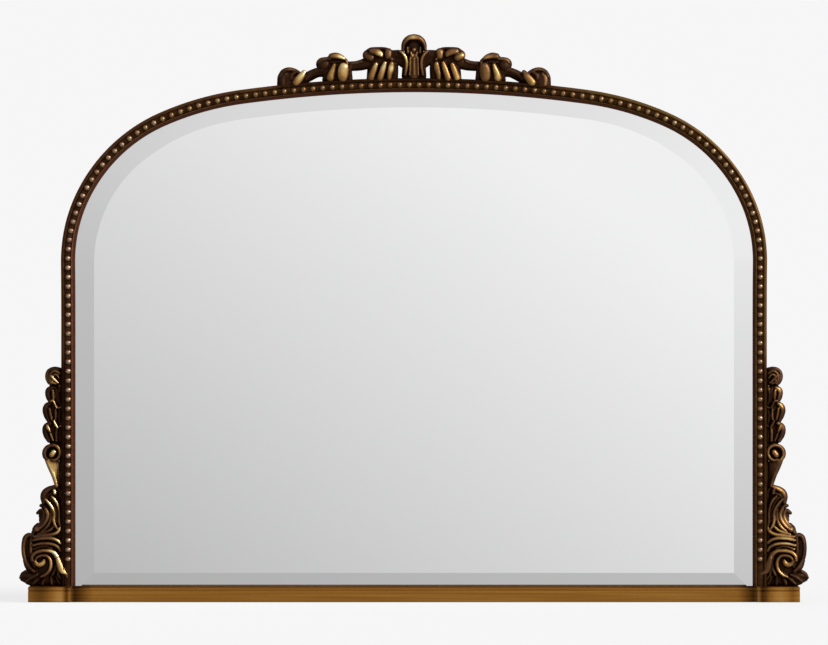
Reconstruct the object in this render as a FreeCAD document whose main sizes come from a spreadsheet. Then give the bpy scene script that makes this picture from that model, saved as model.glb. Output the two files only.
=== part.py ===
"""Arched overmantel mirror: beaded frame, bevelled glass, pierced crest, leaf brackets, hanging hardware.

X runs to the right, Y towards the wall and Z up. The origin is at the middle of the lower back edge of the
base, so the wall is the plane Y = 0 and the shelf under the base is Z = 0. Lengths are in millimetres.
"""
import FreeCAD, Part, Sketcher
import math
import os
import re

from FreeCAD import Vector

SIZES = [
    # frame moulding, in plan from the sight edge outwards and from the back plane forwards
    ("sight_width", 963),
    ("spring_height", 482),
    ("haunch_radius", 213),
    ("shoulder_radius", 408),
    ("haunch_angle", 65.9),
    ("shoulder_angle", 82.2),
    ("moulding_width", 20.5),
    ("frame_depth", 27),
    ("wall_gap", 8),
    ("rebate_width", 4.5),
    ("rebate_depth", 15),
    ("sight_edge_thickness", 5.5),
    ("slope_width", 3.6),
    ("lip_width", 1.8),
    ("channel_width", 10.4),
    ("channel_depth", 3),
    ("outer_round", 3.5),
    # bead moulding
    ("bead_diameter", 10),
    ("bead_pitch", 13.5),
    ("bead_strip_thickness", 1.6),
    ("bead_raise", 0.5),
    ("lowest_bead_height", 60.7),
    ("strip_clearance", 0.3),
    # base
    ("base_height", 22),
    ("base_depth", 44),
    ("plinth_width", 62.5),
    ("plinth_proud", 5),
    ("plinth_bow", 2),
    ("plinth_round", 8),
    ("quirk_height", 16.8),
    ("quirk_width", 1.2),
    ("quirk_depth", 1.2),
    ("base_edge_round", 1.5),
    # glass and its backing
    ("glass_thickness", 5),
    ("glass_lap", 4),
    ("bottom_lap", 11),
    ("bevel_width", 30),
    ("bevel_drop", 2.6),
    ("field_rise", 5),
    ("glass_clearance", 0.2),
    ("setting_block_length", 60),
    ("setting_block_height", 3),
    ("pad_diameter", 24),
    ("pad_thickness", 3),
    ("board_thickness", 4),
    ("board_clearance", 0.5),
    # back clips
    ("clip_width", 12),
    ("clip_thickness", 1.2),
    ("clip_leg", 12),
    ("clip_tongue", 12),
    # fasteners
    ("screw_diameter", 3),
    ("screw_head_diameter", 6),
    ("screw_head_height", 1.8),
    ("screw_slot_width", 0.9),
    ("screw_slot_depth", 0.7),
    ("clip_screw_length", 14),
    ("hanger_screw_length", 18),
    ("foot_screw_length", 48),
    ("hole_clearance", 0.1),
    ("dowel_diameter", 6),
    ("dowel_length", 36),
    ("dowel_end_space", 1),
    ("pin_diameter", 4),
    ("pin_length", 24),
    # hanging hardware
    ("hanger_drop", 12),
    ("hanger_inset", 10),
    ("plate_width", 10),
    ("plate_thickness", 1.2),
    ("plate_length", 48),
    ("plate_screw_start", 22),
    ("plate_screw_pitch", 18),
    ("ring_wire", 3),
    ("ring_inside_width", 14),
    ("ring_leg", 5),
    ("ring_corner", 2.5),
    ("ring_clearance", 0.25),
    ("bumper_diameter", 14),
    ("bumper_round", 1),
    # ornaments
    ("crest_width", 388),
    ("crest_height", 62),
    ("crest_lap", 3),
    ("ornament_set_back", 4),
    ("ornament_plate", 14),
    ("ornament_relief", 15),
    ("ornament_gap", 0.3),
    ("crest_lobe_sink", 1.4),
    ("side_lobe_sink", 1),
    ("side_ornament_height", 312),
    ("side_ornament_width", 60),
    ("side_ornament_lap", 6),
]
ALIASES = [name for name, _ in SIZES]

doc = FreeCAD.newDocument("arched_mirror")
sheet = doc.addObject("Spreadsheet::Sheet", "sizes")
for row, (alias, amount) in enumerate(SIZES, start=1):
    sheet.set("A%d" % row, alias)
    sheet.set("B%d" % row, str(amount))
    sheet.setAlias("B%d" % row, alias)
doc.recompute()


class Sizes:
    """The sheet's values as plain attributes."""


s = Sizes()
for alias in ALIASES:
    setattr(s, alias, float(sheet.get(alias)))


def bind(obj, prop, text):
    """Bind a property to an expression that is written with the sheet's aliases."""
    obj.setExpression(prop, re.sub(r"[a-z_]+", lambda m: "sizes." + m[0] if m[0] in ALIASES else m[0], text))
    return obj


def feature(name, shape):
    """An object with a shape that is computed from the sheet's values."""
    obj = doc.addObject("Part::Feature", name)
    obj.Shape = shape
    return obj


def one_solid(shape):
    """The only solid of a boolean's result, with split faces merged."""
    shape = shape.removeSplitter()
    return shape.Solids[0] if len(shape.Solids) == 1 else shape


def drilled(shape, tools):
    """The shape less a list of tools, as one solid."""
    return one_solid(shape.cut(Part.makeCompound(tools)))


def mirrored(shape):
    """The shape's mirror image across the middle plane."""
    return shape.mirror(Vector(0, 0, 0), Vector(1, 0, 0))


# derived places
sight_half = s.sight_width / 2
outer_half = sight_half + s.moulding_width
back_y = -s.wall_gap
plinth_start = sight_half + s.rebate_width
plinth_end = plinth_start + s.plinth_width
glass_front = s.rebate_depth + s.bevel_drop * (1 - s.glass_lap / s.bevel_width) - s.glass_clearance
glass_back = glass_front - s.glass_thickness
board_front = glass_back - s.pad_thickness
board_back = board_front - s.board_thickness
glass_bottom = s.base_height - s.bottom_lap
groove_floor = glass_bottom - s.setting_block_height


class Arch:
    """The five-centred arch: its three centres on the right half, shared by all its offset curves."""

    turn = [0, math.radians(s.haunch_angle), math.radians(s.shoulder_angle), math.pi / 2]
    haunch = (sight_half - s.haunch_radius, s.spring_height)
    step = s.shoulder_radius - s.haunch_radius
    shoulder = (haunch[0] - step * math.cos(turn[1]), haunch[1] - step * math.sin(turn[1]))
    crown_radius = s.shoulder_radius + shoulder[0] / math.cos(turn[2])
    crown = (0, shoulder[1] - shoulder[0] * math.tan(turn[2]))
    centres = [haunch, shoulder, crown]
    radii = [s.haunch_radius, s.shoulder_radius, crown_radius]


def arch_point(angle, offset):
    """A point at an angle from level on the right half of the arch, at an offset out from the sight edge."""
    part = sum(angle > limit for limit in Arch.turn[1:3])
    reach = Arch.radii[part] + offset
    return Vector(Arch.centres[part][0] + reach * math.cos(angle), 0,
                  Arch.centres[part][1] + reach * math.sin(angle))


def outer_spot(across):
    """The point of the frame's outer curve at a distance from the middle, and the way out from it."""
    for part in (2, 1, 0):
        reach = Arch.radii[part] + s.moulding_width
        if across <= Arch.centres[part][0] + reach * math.cos(Arch.turn[part]):
            break
    shift = min((across - Arch.centres[part][0]) / reach, 1)
    out = Vector(shift, 0, math.sqrt(1 - shift ** 2))
    return Vector(Arch.centres[part][0], 0, Arch.centres[part][1]) + out * reach, out


def arch_outline(offset, bottom, depth, rise=0):
    """The closed outline at an offset out from the sight edge, in a plane at a depth before the back."""
    shift = Vector(0, back_y - depth, rise)
    edges = []
    for start, end in zip(Arch.turn[:2], Arch.turn[1:3]):
        nodes = [arch_point(start + (end - start) * part / 2, offset) for part in range(3)]
        if start:
            centre, reach = Arch.centres[1], Arch.radii[1] + offset
            nodes[0] = Vector(centre[0] + reach * math.cos(start), 0, centre[1] + reach * math.sin(start))
        edges.append(Part.Arc(*[node + shift for node in nodes]).toShape())
    half = [edge.copy() for edge in edges]
    reach = Arch.radii[2] + offset
    last = Vector(reach * math.cos(Arch.turn[2]), 0, Arch.crown[1] + reach * math.sin(Arch.turn[2])) + shift
    top = Vector(0, 0, Arch.crown[1] + reach) + shift
    crown = Part.Arc(last, top, Vector(-last.x, last.y, last.z)).toShape()
    width = sight_half + offset
    right_foot = Vector(width, shift.y, bottom)
    left_foot = Vector(-width, shift.y, bottom)
    right_top = Vector(width, shift.y, s.spring_height + rise)
    left_top = Vector(-width, shift.y, s.spring_height + rise)
    side = Part.makeLine(right_foot, right_top)
    back_down = [mirrored(edge) for edge in reversed(half)]
    other = Part.makeLine(left_top, left_foot)
    return Part.Wire(Part.__sortEdges__([side] + half + [crown] + back_down
                                        + [other, Part.makeLine(left_foot, right_foot)]))


# moulding: one profile, drawn at the right spring line, carried down the stiles and round the arch
def profile_wire(nodes):
    """A closed wire through (outward, forward) nodes; a node with a third value ends an arc through it."""
    edges = []
    spot = [Vector(sight_half + node[0], back_y - node[1], s.spring_height) for node in nodes]
    for index, node in enumerate(nodes):
        following = nodes[(index + 1) % len(nodes)]
        start, end = spot[index], spot[(index + 1) % len(nodes)]
        if len(following) > 2:
            middle = Vector(sight_half + following[2][0], back_y - following[2][1], s.spring_height)
            edges.append(Part.Arc(start, middle, end).toShape())
        else:
            edges.append(Part.makeLine(start, end))
    return Part.Wire(edges)


channel_start = s.slope_width + s.lip_width
channel_end = channel_start + s.channel_width
channel_floor = s.frame_depth - s.channel_depth
sight_edge = s.rebate_depth + s.sight_edge_thickness
round_middle = s.outer_round * (1 - math.sqrt(0.5))
cove_middle = (s.slope_width * math.sqrt(0.5), s.frame_depth - (s.frame_depth - sight_edge) * math.sqrt(0.5))
frame_face = Part.Face(profile_wire([
    (s.rebate_width, 0),
    (s.moulding_width, 0),
    (s.moulding_width, s.frame_depth - s.outer_round),
    (s.moulding_width - s.outer_round, s.frame_depth,
     (s.moulding_width - round_middle, s.frame_depth - round_middle)),
    (channel_end, s.frame_depth),
    (channel_end, channel_floor),
    (channel_start, channel_floor),
    (channel_start, s.frame_depth),
    (s.slope_width, s.frame_depth),
    (0, sight_edge, cove_middle),
    (0, s.rebate_depth),
    (s.rebate_width, s.rebate_depth),
]))
strip_start = channel_start + s.strip_clearance
strip_end = channel_end - s.strip_clearance
strip_top = channel_floor + s.bead_strip_thickness
strip_face = Part.Face(profile_wire([
    (strip_start, channel_floor),
    (strip_end, channel_floor),
    (strip_end, strip_top),
    (strip_start, strip_top),
]))


def arch_half(face):
    """The right half of the arch: the face turned about the three centres in sequence."""
    solids = []
    for part in range(3):
        centre = Vector(Arch.centres[part][0], 0, Arch.centres[part][1])
        sweep = math.degrees(Arch.turn[part + 1] - Arch.turn[part])
        solids.append(face.revolve(centre, Vector(0, -1, 0), sweep))
        face = face.copy()
        face.rotate(centre, Vector(0, -1, 0), sweep)
    return solids


def stile_run(face, bottom):
    """The straight run of the face from the spring line down to a height."""
    return face.extrude(Vector(0, 0, bottom - s.spring_height))


def origin_plane(body, role):
    """The body's own origin plane with a role."""
    return next(plane for plane in body.Origin.OriginFeatures if plane.Role == role)


# fasteners: one body of each kind, copied to its places
def turned(name, nodes):
    """A PartDesign body turned about Z from (radius, height) pairs of expressions."""
    body = doc.addObject("PartDesign::Body", name)
    sketch = body.newObject("Sketcher::SketchObject", name + "_profile")
    sketch.AttachmentSupport = [(origin_plane(body, "XZ_Plane"), "")]
    sketch.MapMode = "FlatFace"
    spots = [Vector(radius[1], height[1], 0) for radius, height in nodes]
    for index, spot in enumerate(spots):
        sketch.addGeometry(Part.LineSegment(spot, spots[(index + 1) % len(spots)]), False)
    for index, (radius, height) in enumerate(nodes):
        sketch.addConstraint(Sketcher.Constraint("Coincident", index, 2, (index + 1) % len(nodes), 1))
    for index, pair in enumerate(nodes):
        for axis, kind, (text, amount) in ((-2, "DistanceX", pair[0]), (-1, "DistanceY", pair[1])):
            if text == "0":
                sketch.addConstraint(Sketcher.Constraint("PointOnObject", index, 1, axis))
            elif amount > 0:
                row = sketch.addConstraint(Sketcher.Constraint(kind, -1, 1, index, 1, amount))
                bind(sketch, "Constraints[%d]" % row, text)
            else:
                row = sketch.addConstraint(Sketcher.Constraint(kind, index, 1, -1, 1, -amount))
                bind(sketch, "Constraints[%d]" % row, "-(" + text + ")")
    turn = body.newObject("PartDesign::Revolution", name + "_turn")
    turn.Profile = sketch
    turn.ReferenceAxis = (sketch, ["V_Axis"])
    turn.Angle = 360
    doc.recompute()
    return body


def screw(name, length_name):
    """A wood screw that points down from the origin, with a slotted pan head above."""
    length = getattr(s, length_name)
    head, shank = s.screw_head_diameter / 2, s.screw_diameter / 2
    body = turned(name, [
        (("0", 0), ("-" + length_name, -length)),
        (("screw_diameter / 2", shank), ("screw_diameter - " + length_name, s.screw_diameter - length)),
        (("screw_diameter / 2", shank), ("0", 0)),
        (("screw_head_diameter / 2", head), ("0", 0)),
        (("screw_head_diameter / 2", head), ("screw_head_height / 2", s.screw_head_height / 2)),
        (("screw_head_diameter / 3", s.screw_head_diameter / 3), ("screw_head_height", s.screw_head_height)),
        (("0", 0), ("screw_head_height", s.screw_head_height)),
    ])
    slot = doc.addObject("Part::Box", name + "_slot")
    bind(slot, "Length", "screw_head_diameter")
    bind(slot, "Width", "screw_slot_width")
    bind(slot, "Height", "screw_slot_depth")
    bind(slot, "Placement.Base.x", "-screw_head_diameter / 2")
    bind(slot, "Placement.Base.y", "-screw_slot_width / 2")
    bind(slot, "Placement.Base.z", "screw_head_height - screw_slot_depth")
    cut = doc.addObject("Part::Cut", name + "_slotted")
    cut.Base = body
    cut.Tool = slot
    doc.recompute()
    return cut


def placed(shape, spot, rotation):
    """A copy of a shape, turned and then moved to a spot."""
    shape = shape.copy()
    shape.Placement = FreeCAD.Placement(spot, rotation).multiply(shape.Placement)
    return shape


FROM_BACK = FreeCAD.Rotation(Vector(1, 0, 0), -90)
FROM_BELOW = FreeCAD.Rotation(Vector(1, 0, 0), 180)


def hole(spot, direction, length, diameter):
    """A round hole with the named clearance on its diameter."""
    return Part.makeCylinder(diameter / 2 + s.hole_clearance, length, spot, direction)


# back clips: places along the right half of the frame, as heights on the stile and angles on the arch
CLIP_STILE_SHARES = [0.28, 0.72]
CLIP_ARCH_SHARES = [0.3, 0.62, 0.93]
clip_frames = []
for share in CLIP_STILE_SHARES:
    height = s.base_height + share * (s.spring_height - s.base_height)
    clip_frames.append((Vector(sight_half, 0, height), 0))
for share in CLIP_ARCH_SHARES:
    angle = share * math.pi / 2
    clip_frames.append((arch_point(angle, 0), angle))


def clip_shape():
    """A Z clip in its own axes: X outward from the sight edge, Y towards the wall from the back plane."""
    half = s.clip_width / 2
    start = s.rebate_width - s.clip_thickness - s.strip_clearance
    leg = Part.makeBox(s.clip_leg, s.clip_thickness, s.clip_width, Vector(start, 0, -half))
    step = Part.makeBox(s.clip_thickness, board_back + s.clip_thickness, s.clip_width,
                        Vector(start, -board_back, -half))
    tongue = Part.makeBox(s.clip_tongue, s.clip_thickness, s.clip_width,
                          Vector(start + s.clip_thickness - s.clip_tongue, -board_back, -half))
    spot = Vector(clip_screw_place, -s.clip_thickness, 0)
    bore = hole(spot, Vector(0, 1, 0), 3 * s.clip_thickness, s.screw_diameter)
    return one_solid(leg.fuse([step, tongue])).cut(bore)


clip_screw_place = (s.rebate_width + s.moulding_width) / 2
clip = clip_shape()
clips = []
clip_screws = []
clip_holes = []
clip_screw = screw("clip_screw", "clip_screw_length")
for spot, angle in clip_frames:
    lean = FreeCAD.Rotation(Vector(0, -1, 0), math.degrees(angle))
    clips.append(placed(clip, spot + Vector(0, back_y, 0), lean))
    out = Vector(math.cos(angle), 0, math.sin(angle)) * clip_screw_place
    seat = spot + out + Vector(0, back_y, 0)
    clip_screws.append(placed(clip_screw.Shape, seat + Vector(0, s.clip_thickness, 0), FROM_BACK))
    clip_holes.append(hole(seat, Vector(0, -1, 0), s.clip_screw_length, s.screw_diameter))
feature("back_clips", Part.makeCompound(clips + [mirrored(one) for one in clips]))
feature("back_clip_screws", Part.makeCompound(clip_screws + [mirrored(one) for one in clip_screws]))

# hanging hardware on the right stile; the left set is its mirror image
hanger_x = sight_half + s.hanger_inset
eye_inner = s.ring_wire / 2 + s.ring_clearance
eye_outer = eye_inner + s.plate_thickness
eye_y = back_y + eye_outer
hanger_height = s.spring_height - s.hanger_drop
plate_box = doc.addObject("Part::Box", "hanger_strap")
bind(plate_box, "Length", "plate_width")
bind(plate_box, "Width", "plate_thickness")
bind(plate_box, "Height", "plate_length")
bind(plate_box, "Placement.Base.x", "sight_width / 2 + hanger_inset - plate_width / 2")
bind(plate_box, "Placement.Base.y", "-wall_gap")
bind(plate_box, "Placement.Base.z", "spring_height - hanger_drop - plate_length")


def eye_cylinder(name, radius_text):
    """A cylinder along X on the ring's axis, as wide as the strap plate."""
    tube = doc.addObject("Part::Cylinder", name)
    bind(tube, "Radius", radius_text)
    bind(tube, "Height", "plate_width")
    tube.Placement.Rotation = FreeCAD.Rotation(Vector(0, 1, 0), 90)
    bind(tube, "Placement.Base.x", "sight_width / 2 + hanger_inset - plate_width / 2")
    bind(tube, "Placement.Base.y", "ring_wire / 2 + ring_clearance + plate_thickness - wall_gap")
    bind(tube, "Placement.Base.z", "spring_height - hanger_drop")
    return tube


eye = eye_cylinder("hanger_eye", "ring_wire / 2 + ring_clearance + plate_thickness")
eye_bore = eye_cylinder("hanger_eye_bore", "ring_wire / 2 + ring_clearance")
plate_blank = doc.addObject("Part::Fuse", "hanger_blank")
plate_blank.Base = plate_box
plate_blank.Tool = eye
plate_screw_heights = [hanger_height - s.plate_screw_start - step * s.plate_screw_pitch for step in range(2)]
plate_holes = doc.addObject("Part::MultiFuse", "hanger_holes")
bores = [eye_bore]
for step in range(2):
    bore = doc.addObject("Part::Cylinder", "hanger_bore_%d" % step)
    bind(bore, "Radius", "screw_diameter / 2 + hole_clearance")
    bind(bore, "Height", "3 * plate_thickness")
    bore.Placement.Rotation = FROM_BACK
    bind(bore, "Placement.Base.x", "sight_width / 2 + hanger_inset")
    bind(bore, "Placement.Base.y", "-wall_gap - plate_thickness")
    height_text = "spring_height - hanger_drop - plate_screw_start - %d * plate_screw_pitch" % step
    bind(bore, "Placement.Base.z", height_text)
    bores.append(bore)
plate_holes.Shapes = bores
right_plate = doc.addObject("Part::Cut", "right_hanger_plate")
right_plate.Base = plate_blank
right_plate.Tool = plate_holes
left_plate = doc.addObject("Part::Mirroring", "left_hanger_plate")
left_plate.Source = right_plate
left_plate.Normal = Vector(1, 0, 0)
doc.recompute()


def ring_shape():
    """A D ring of round wire, hanging from its straight bar: two bends, two legs and a half-round bow."""
    half = (s.ring_inside_width + s.ring_wire) / 2
    corner = s.ring_corner
    leg = s.ring_leg
    middle = Vector(hanger_x, eye_y, hanger_height)
    diagonal = corner * (1 - math.sqrt(0.5))
    top_right = [Vector(half - corner, 0, 0), Vector(half - diagonal, 0, -diagonal), Vector(half, 0, -corner)]
    top_left = [Vector(-node.x, 0, node.z) for node in reversed(top_right)]
    path = [
        Part.makeLine(Vector(0, 0, 0), top_right[0]),
        Part.Arc(*top_right).toShape(),
        Part.makeLine(top_right[2], Vector(half, 0, -leg)),
        Part.Arc(Vector(half, 0, -leg), Vector(0, 0, -leg - half), Vector(-half, 0, -leg)).toShape(),
        Part.makeLine(Vector(-half, 0, -leg), top_left[0]),
        Part.Arc(*top_left).toShape(),
        Part.makeLine(top_left[2], Vector(0, 0, 0)),
    ]
    pieces = []
    for edge in path:
        start = edge.valueAt(edge.FirstParameter)
        along = edge.tangentAt(edge.FirstParameter)
        disc = Part.Face(Part.Wire(Part.makeCircle(s.ring_wire / 2, start, along)))
        if edge.Curve.TypeId == "Part::GeomLine":
            pieces.append(disc.extrude(along * edge.Length))
        else:
            curve = edge.Curve
            turn = math.degrees(edge.LastParameter - edge.FirstParameter)
            pieces.append(disc.revolve(curve.Center, curve.Axis, turn))
    ring = one_solid(pieces[0].fuse(pieces[1:]))
    ring.translate(middle)
    return ring


right_ring = feature("right_hanger_ring", ring_shape())
left_ring = feature("left_hanger_ring", mirrored(right_ring.Shape))
hanger_screw = screw("hanger_screw", "hanger_screw_length")
hanger_screws = []
hanger_holes = []
for height in plate_screw_heights:
    spot = Vector(hanger_x, back_y + s.plate_thickness, height)
    hanger_screws.append(placed(hanger_screw.Shape, spot, FROM_BACK))
    hanger_holes.append(hole(spot, Vector(0, -1, 0), s.hanger_screw_length, s.screw_diameter))
feature("hanger_screws", Part.makeCompound(hanger_screws + [mirrored(one) for one in hanger_screws]))

# dowels between the stiles, the haunches and the crown, on the land behind the glass rebate
ARCH_DOWEL_SHARES = [0.35, 0.65]
land_middle = sight_half + (s.rebate_width + s.moulding_width) / 2
dowel = doc.addObject("Part::Cylinder", "dowel")
bind(dowel, "Radius", "dowel_diameter / 2")
bind(dowel, "Height", "dowel_length")
doc.recompute()
arch_dowels = []
arch_dowel_holes = []
for share in ARCH_DOWEL_SHARES:
    for angle in (0, Arch.turn[2]):
        along = Vector(-math.sin(angle), 0, math.cos(angle))
        joint = arch_point(angle, land_middle - sight_half) + Vector(0, back_y - share * channel_floor, 0)
        lean = FreeCAD.Rotation(Vector(0, -1, 0), math.degrees(angle))
        arch_dowels.append(placed(dowel.Shape, joint - along * s.dowel_length / 2, lean))
        below = joint - along * (s.dowel_length / 2 + s.dowel_end_space)
        arch_dowel_holes.append(hole(below, along, s.dowel_length + 2 * s.dowel_end_space, s.dowel_diameter))
feature("arch_dowels", Part.makeCompound(arch_dowels + [mirrored(one) for one in arch_dowels]))

# foot screws, from below through the plinth block into the stile
FOOT_SCREW_SHARES = [0.3, 0.75]
foot_screw = screw("foot_screw", "foot_screw_length")
foot_screws = []
foot_holes = []
for share in FOOT_SCREW_SHARES:
    spot = Vector(land_middle, back_y - share * channel_floor, s.screw_head_height)
    foot_screws.append(placed(foot_screw.Shape, spot, FROM_BELOW))
    foot_holes.append(hole(spot, Vector(0, 0, 1), s.foot_screw_length, s.screw_diameter))
    sink = Vector(spot.x, spot.y, 0)
    foot_holes.append(hole(sink, Vector(0, 0, 1), s.screw_head_height, s.screw_head_diameter))
feature("foot_screws", Part.makeCompound(foot_screws + [mirrored(one) for one in foot_screws]))

# side ornament pins, level through the stile's outer face
SIDE_PIN_SHARES = [0.16, 0.44, 0.86]
pin = doc.addObject("Part::Cylinder", "pin")
bind(pin, "Radius", "pin_diameter / 2")
bind(pin, "Height", "pin_length")
doc.recompute()
pin_y = back_y - s.ornament_set_back - s.ornament_plate / 2
pin_into_frame = (s.moulding_width - s.rebate_width) / 2
level = FreeCAD.Rotation(Vector(0, 1, 0), 90)
side_pins = []
side_pin_holes = []
for share in SIDE_PIN_SHARES:
    spot = Vector(outer_half - pin_into_frame, pin_y, s.base_height + share * s.side_ornament_height)
    side_pins.append(placed(pin.Shape, spot, level))
    side_pin_holes.append(hole(spot, Vector(1, 0, 0), s.pin_length, s.pin_diameter))
feature("right_ornament_pins", Part.makeCompound(side_pins))
feature("left_ornament_pins", Part.makeCompound([mirrored(one) for one in side_pins]))

# stiles, haunches and crown
right_stile_shape = drilled(stile_run(frame_face, s.base_height),
                            clip_holes + hanger_holes + arch_dowel_holes + foot_holes + side_pin_holes)
feature("right_stile", right_stile_shape)
feature("left_stile", mirrored(right_stile_shape))
half_arch = arch_half(frame_face)
crown_outer = Arch.crown_radius + s.moulding_width
crest_base = Arch.crown[1] + crown_outer
CREST_PIN_SHARES = [0.19, 0.53, 0.87]
crest_pins = []
crest_pin_holes = []
for share in CREST_PIN_SHARES:
    spot, out = outer_spot(share * s.crest_width / 2)
    spot = spot + Vector(0, pin_y, 0) - out * pin_into_frame
    turn = FreeCAD.Rotation(Vector(0, 1, 0), math.degrees(math.atan2(out.x, out.z)))
    crest_pins.append(placed(pin.Shape, spot, turn))
    crest_pin_holes.append(hole(spot, out, s.pin_length, s.pin_diameter))
crest_pin_holes = crest_pin_holes + [mirrored(one) for one in crest_pin_holes]
feature("crest_pins", Part.makeCompound(crest_pins + [mirrored(one) for one in crest_pins]))
haunch_shape = one_solid(half_arch[0].fuse(half_arch[1]))
haunch_shape = drilled(haunch_shape, clip_holes + arch_dowel_holes + crest_pin_holes)
feature("right_haunch", haunch_shape)
feature("left_haunch", mirrored(haunch_shape))
crown_tools = clip_holes + arch_dowel_holes
crown_tools = crown_tools + [mirrored(tool) for tool in crown_tools] + crest_pin_holes
feature("crown", drilled(one_solid(half_arch[2].fuse(mirrored(half_arch[2]))), crown_tools))

# bead moulding: strip and beads from the foot of the stile to the crown
bead_line = (channel_start + channel_end) / 2
bead_centre = strip_top + s.bead_raise
spans = [(Arch.turn[part + 1] - Arch.turn[part]) * (Arch.radii[part] + bead_line) for part in range(3)]
run = s.spring_height - s.lowest_bead_height + sum(spans)
bead_count = max(2, round(run / s.bead_pitch + 0.5))
BEAD_PACE_SHARES = ((0, 0), (0.4129, 0.4098), (0.5806, 0.5731), (1, 1))


def paced(count_share):
    """The share of the run below a share of the beads, which stand a little closer on the lower haunch."""
    for (low, low_run), (high, high_run) in zip(BEAD_PACE_SHARES, BEAD_PACE_SHARES[1:]):
        if count_share <= high:
            return low_run + (high_run - low_run) * (count_share - low) / (high - low)


def bead_spot(travel):
    """The centre of a bead at a distance along the run from the lowest bead."""
    rise = s.spring_height - s.lowest_bead_height
    if travel <= rise:
        return Vector(sight_half + bead_line, back_y - bead_centre, s.lowest_bead_height + travel)
    travel = travel - rise
    part = 0
    while part < 2 and travel > spans[part]:
        travel = travel - spans[part]
        part = part + 1
    reach = Arch.radii[part] + bead_line
    angle = Arch.turn[part] + travel / reach
    centre = Arch.centres[part]
    return Vector(centre[0] + reach * math.cos(angle), back_y - bead_centre,
                  centre[1] + reach * math.sin(angle))


strip = [stile_run(strip_face, s.base_height)] + arch_half(strip_face)
strip_shape = one_solid(strip[0].fuse(strip[1:]))
bead_shares = [paced(step / (bead_count - 0.5)) for step in range(bead_count)]
beads = [Part.makeSphere(s.bead_diameter / 2, bead_spot(share * run)) for share in bead_shares]
keep = Part.makeBox(2 * plinth_end, s.frame_depth, 2 * crest_base,
                    Vector(-plinth_end, back_y - channel_floor - s.frame_depth, -crest_base))
beads = [bead.common(keep) for bead in beads]
right_bead_shape = one_solid(strip_shape.fuse(beads))
feature("right_bead_moulding", right_bead_shape)
feature("left_bead_moulding", mirrored(right_bead_shape))


# base: PartDesign bodies
def sketch_box(body, name, role, spans_text, offset_text):
    """A rectangle between bound edges, on an origin plane of the body that is moved along its normal."""
    sketch = body.newObject("Sketcher::SketchObject", name)
    sketch.AttachmentSupport = [(origin_plane(body, role), "")]
    sketch.MapMode = "FlatFace"
    bind(sketch, "AttachmentOffset.Base.z", offset_text)
    (left, right), (low, high) = spans_text
    corners = [(left, low), (right, low), (right, high), (left, high)]
    for index, (across, up) in enumerate(corners):
        onward = corners[(index + 1) % 4]
        start, end = Vector(across[1], up[1], 0), Vector(onward[0][1], onward[1][1], 0)
        sketch.addGeometry(Part.LineSegment(start, end), False)
    for index in range(4):
        sketch.addConstraint(Sketcher.Constraint("Coincident", index, 2, (index + 1) % 4, 1))
        sketch.addConstraint(Sketcher.Constraint("Vertical" if index % 2 else "Horizontal", index))
    for kind, axis, (text, amount), corner in (("DistanceX", -2, left, 0), ("DistanceY", -1, low, 0),
                                               ("DistanceX", -2, right, 2), ("DistanceY", -1, high, 2)):
        if text == "0":
            sketch.addConstraint(Sketcher.Constraint("PointOnObject", corner, 1, axis))
        elif amount > 0:
            row = sketch.addConstraint(Sketcher.Constraint(kind, -1, 1, corner, 1, amount))
            bind(sketch, "Constraints[%d]" % row, text)
        else:
            row = sketch.addConstraint(Sketcher.Constraint(kind, corner, 1, -1, 1, -amount))
            bind(sketch, "Constraints[%d]" % row, "-(" + text + ")")
    return sketch


def pad(body, sketch, name, length_text):
    """An added prism of a sketch."""
    prism = body.newObject("PartDesign::Pad", name)
    prism.Profile = sketch
    bind(prism, "Length", length_text)
    doc.recompute()
    return prism


def pocket(body, sketch, name, length_text):
    """A cut prism of a sketch that goes on through the body."""
    prism = body.newObject("PartDesign::Pocket", name)
    prism.Profile = sketch
    prism.Reversed = True
    bind(prism, "Length", length_text)
    doc.recompute()
    return prism


rail_body = doc.addObject("PartDesign::Body", "base_rail_body")
section = (("-base_depth", -s.base_depth), ("0", 0)), (("0", 0), ("base_height", s.base_height))
rail_start = "-(sight_width / 2 + rebate_width)"
rail_length = "sight_width + 2 * rebate_width"
rail_block = pad(rail_body, sketch_box(rail_body, "rail_section", "YZ_Plane", section, rail_start),
                 "rail_block", rail_length)
GLASS_FRONT = "(rebate_depth + bevel_drop * (1 - glass_lap / bevel_width) - glass_clearance)"
BOARD_BACK = "(" + GLASS_FRONT + " - glass_thickness - pad_thickness - board_thickness)"
groove = ((("-wall_gap - " + GLASS_FRONT + " - glass_clearance", back_y - glass_front - s.glass_clearance),
           ("-wall_gap - " + BOARD_BACK + " + board_clearance", back_y - board_back + s.board_clearance)),
          (("base_height - bottom_lap - setting_block_height", groove_floor),
           ("2 * base_height", 2 * s.base_height)))
rail_groove = pocket(rail_body, sketch_box(rail_body, "rail_groove_section", "YZ_Plane", groove, rail_start),
                     "rail_groove", rail_length)
quirk = ((("-2 * base_depth", -2 * s.base_depth), ("quirk_depth - base_depth", s.quirk_depth - s.base_depth)),
         (("quirk_height", s.quirk_height), ("quirk_height + quirk_width", s.quirk_height + s.quirk_width)))
rail_quirk = pocket(rail_body, sketch_box(rail_body, "rail_quirk_section", "YZ_Plane", quirk, rail_start),
                    "rail_quirk", rail_length)


def edges_at(shape, test):
    """The names of the edges whose middle point passes a test."""
    names = []
    for index, edge in enumerate(shape.Edges, start=1):
        if test(edge.valueAt((edge.FirstParameter + edge.LastParameter) / 2), edge):
            names.append("Edge%d" % index)
    return names


NEAR_SHARE = 1e-5


def near(amount, target):
    """Two lengths are equal within a small share of the base's height."""
    return abs(amount - target) < NEAR_SHARE * s.base_height


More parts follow.
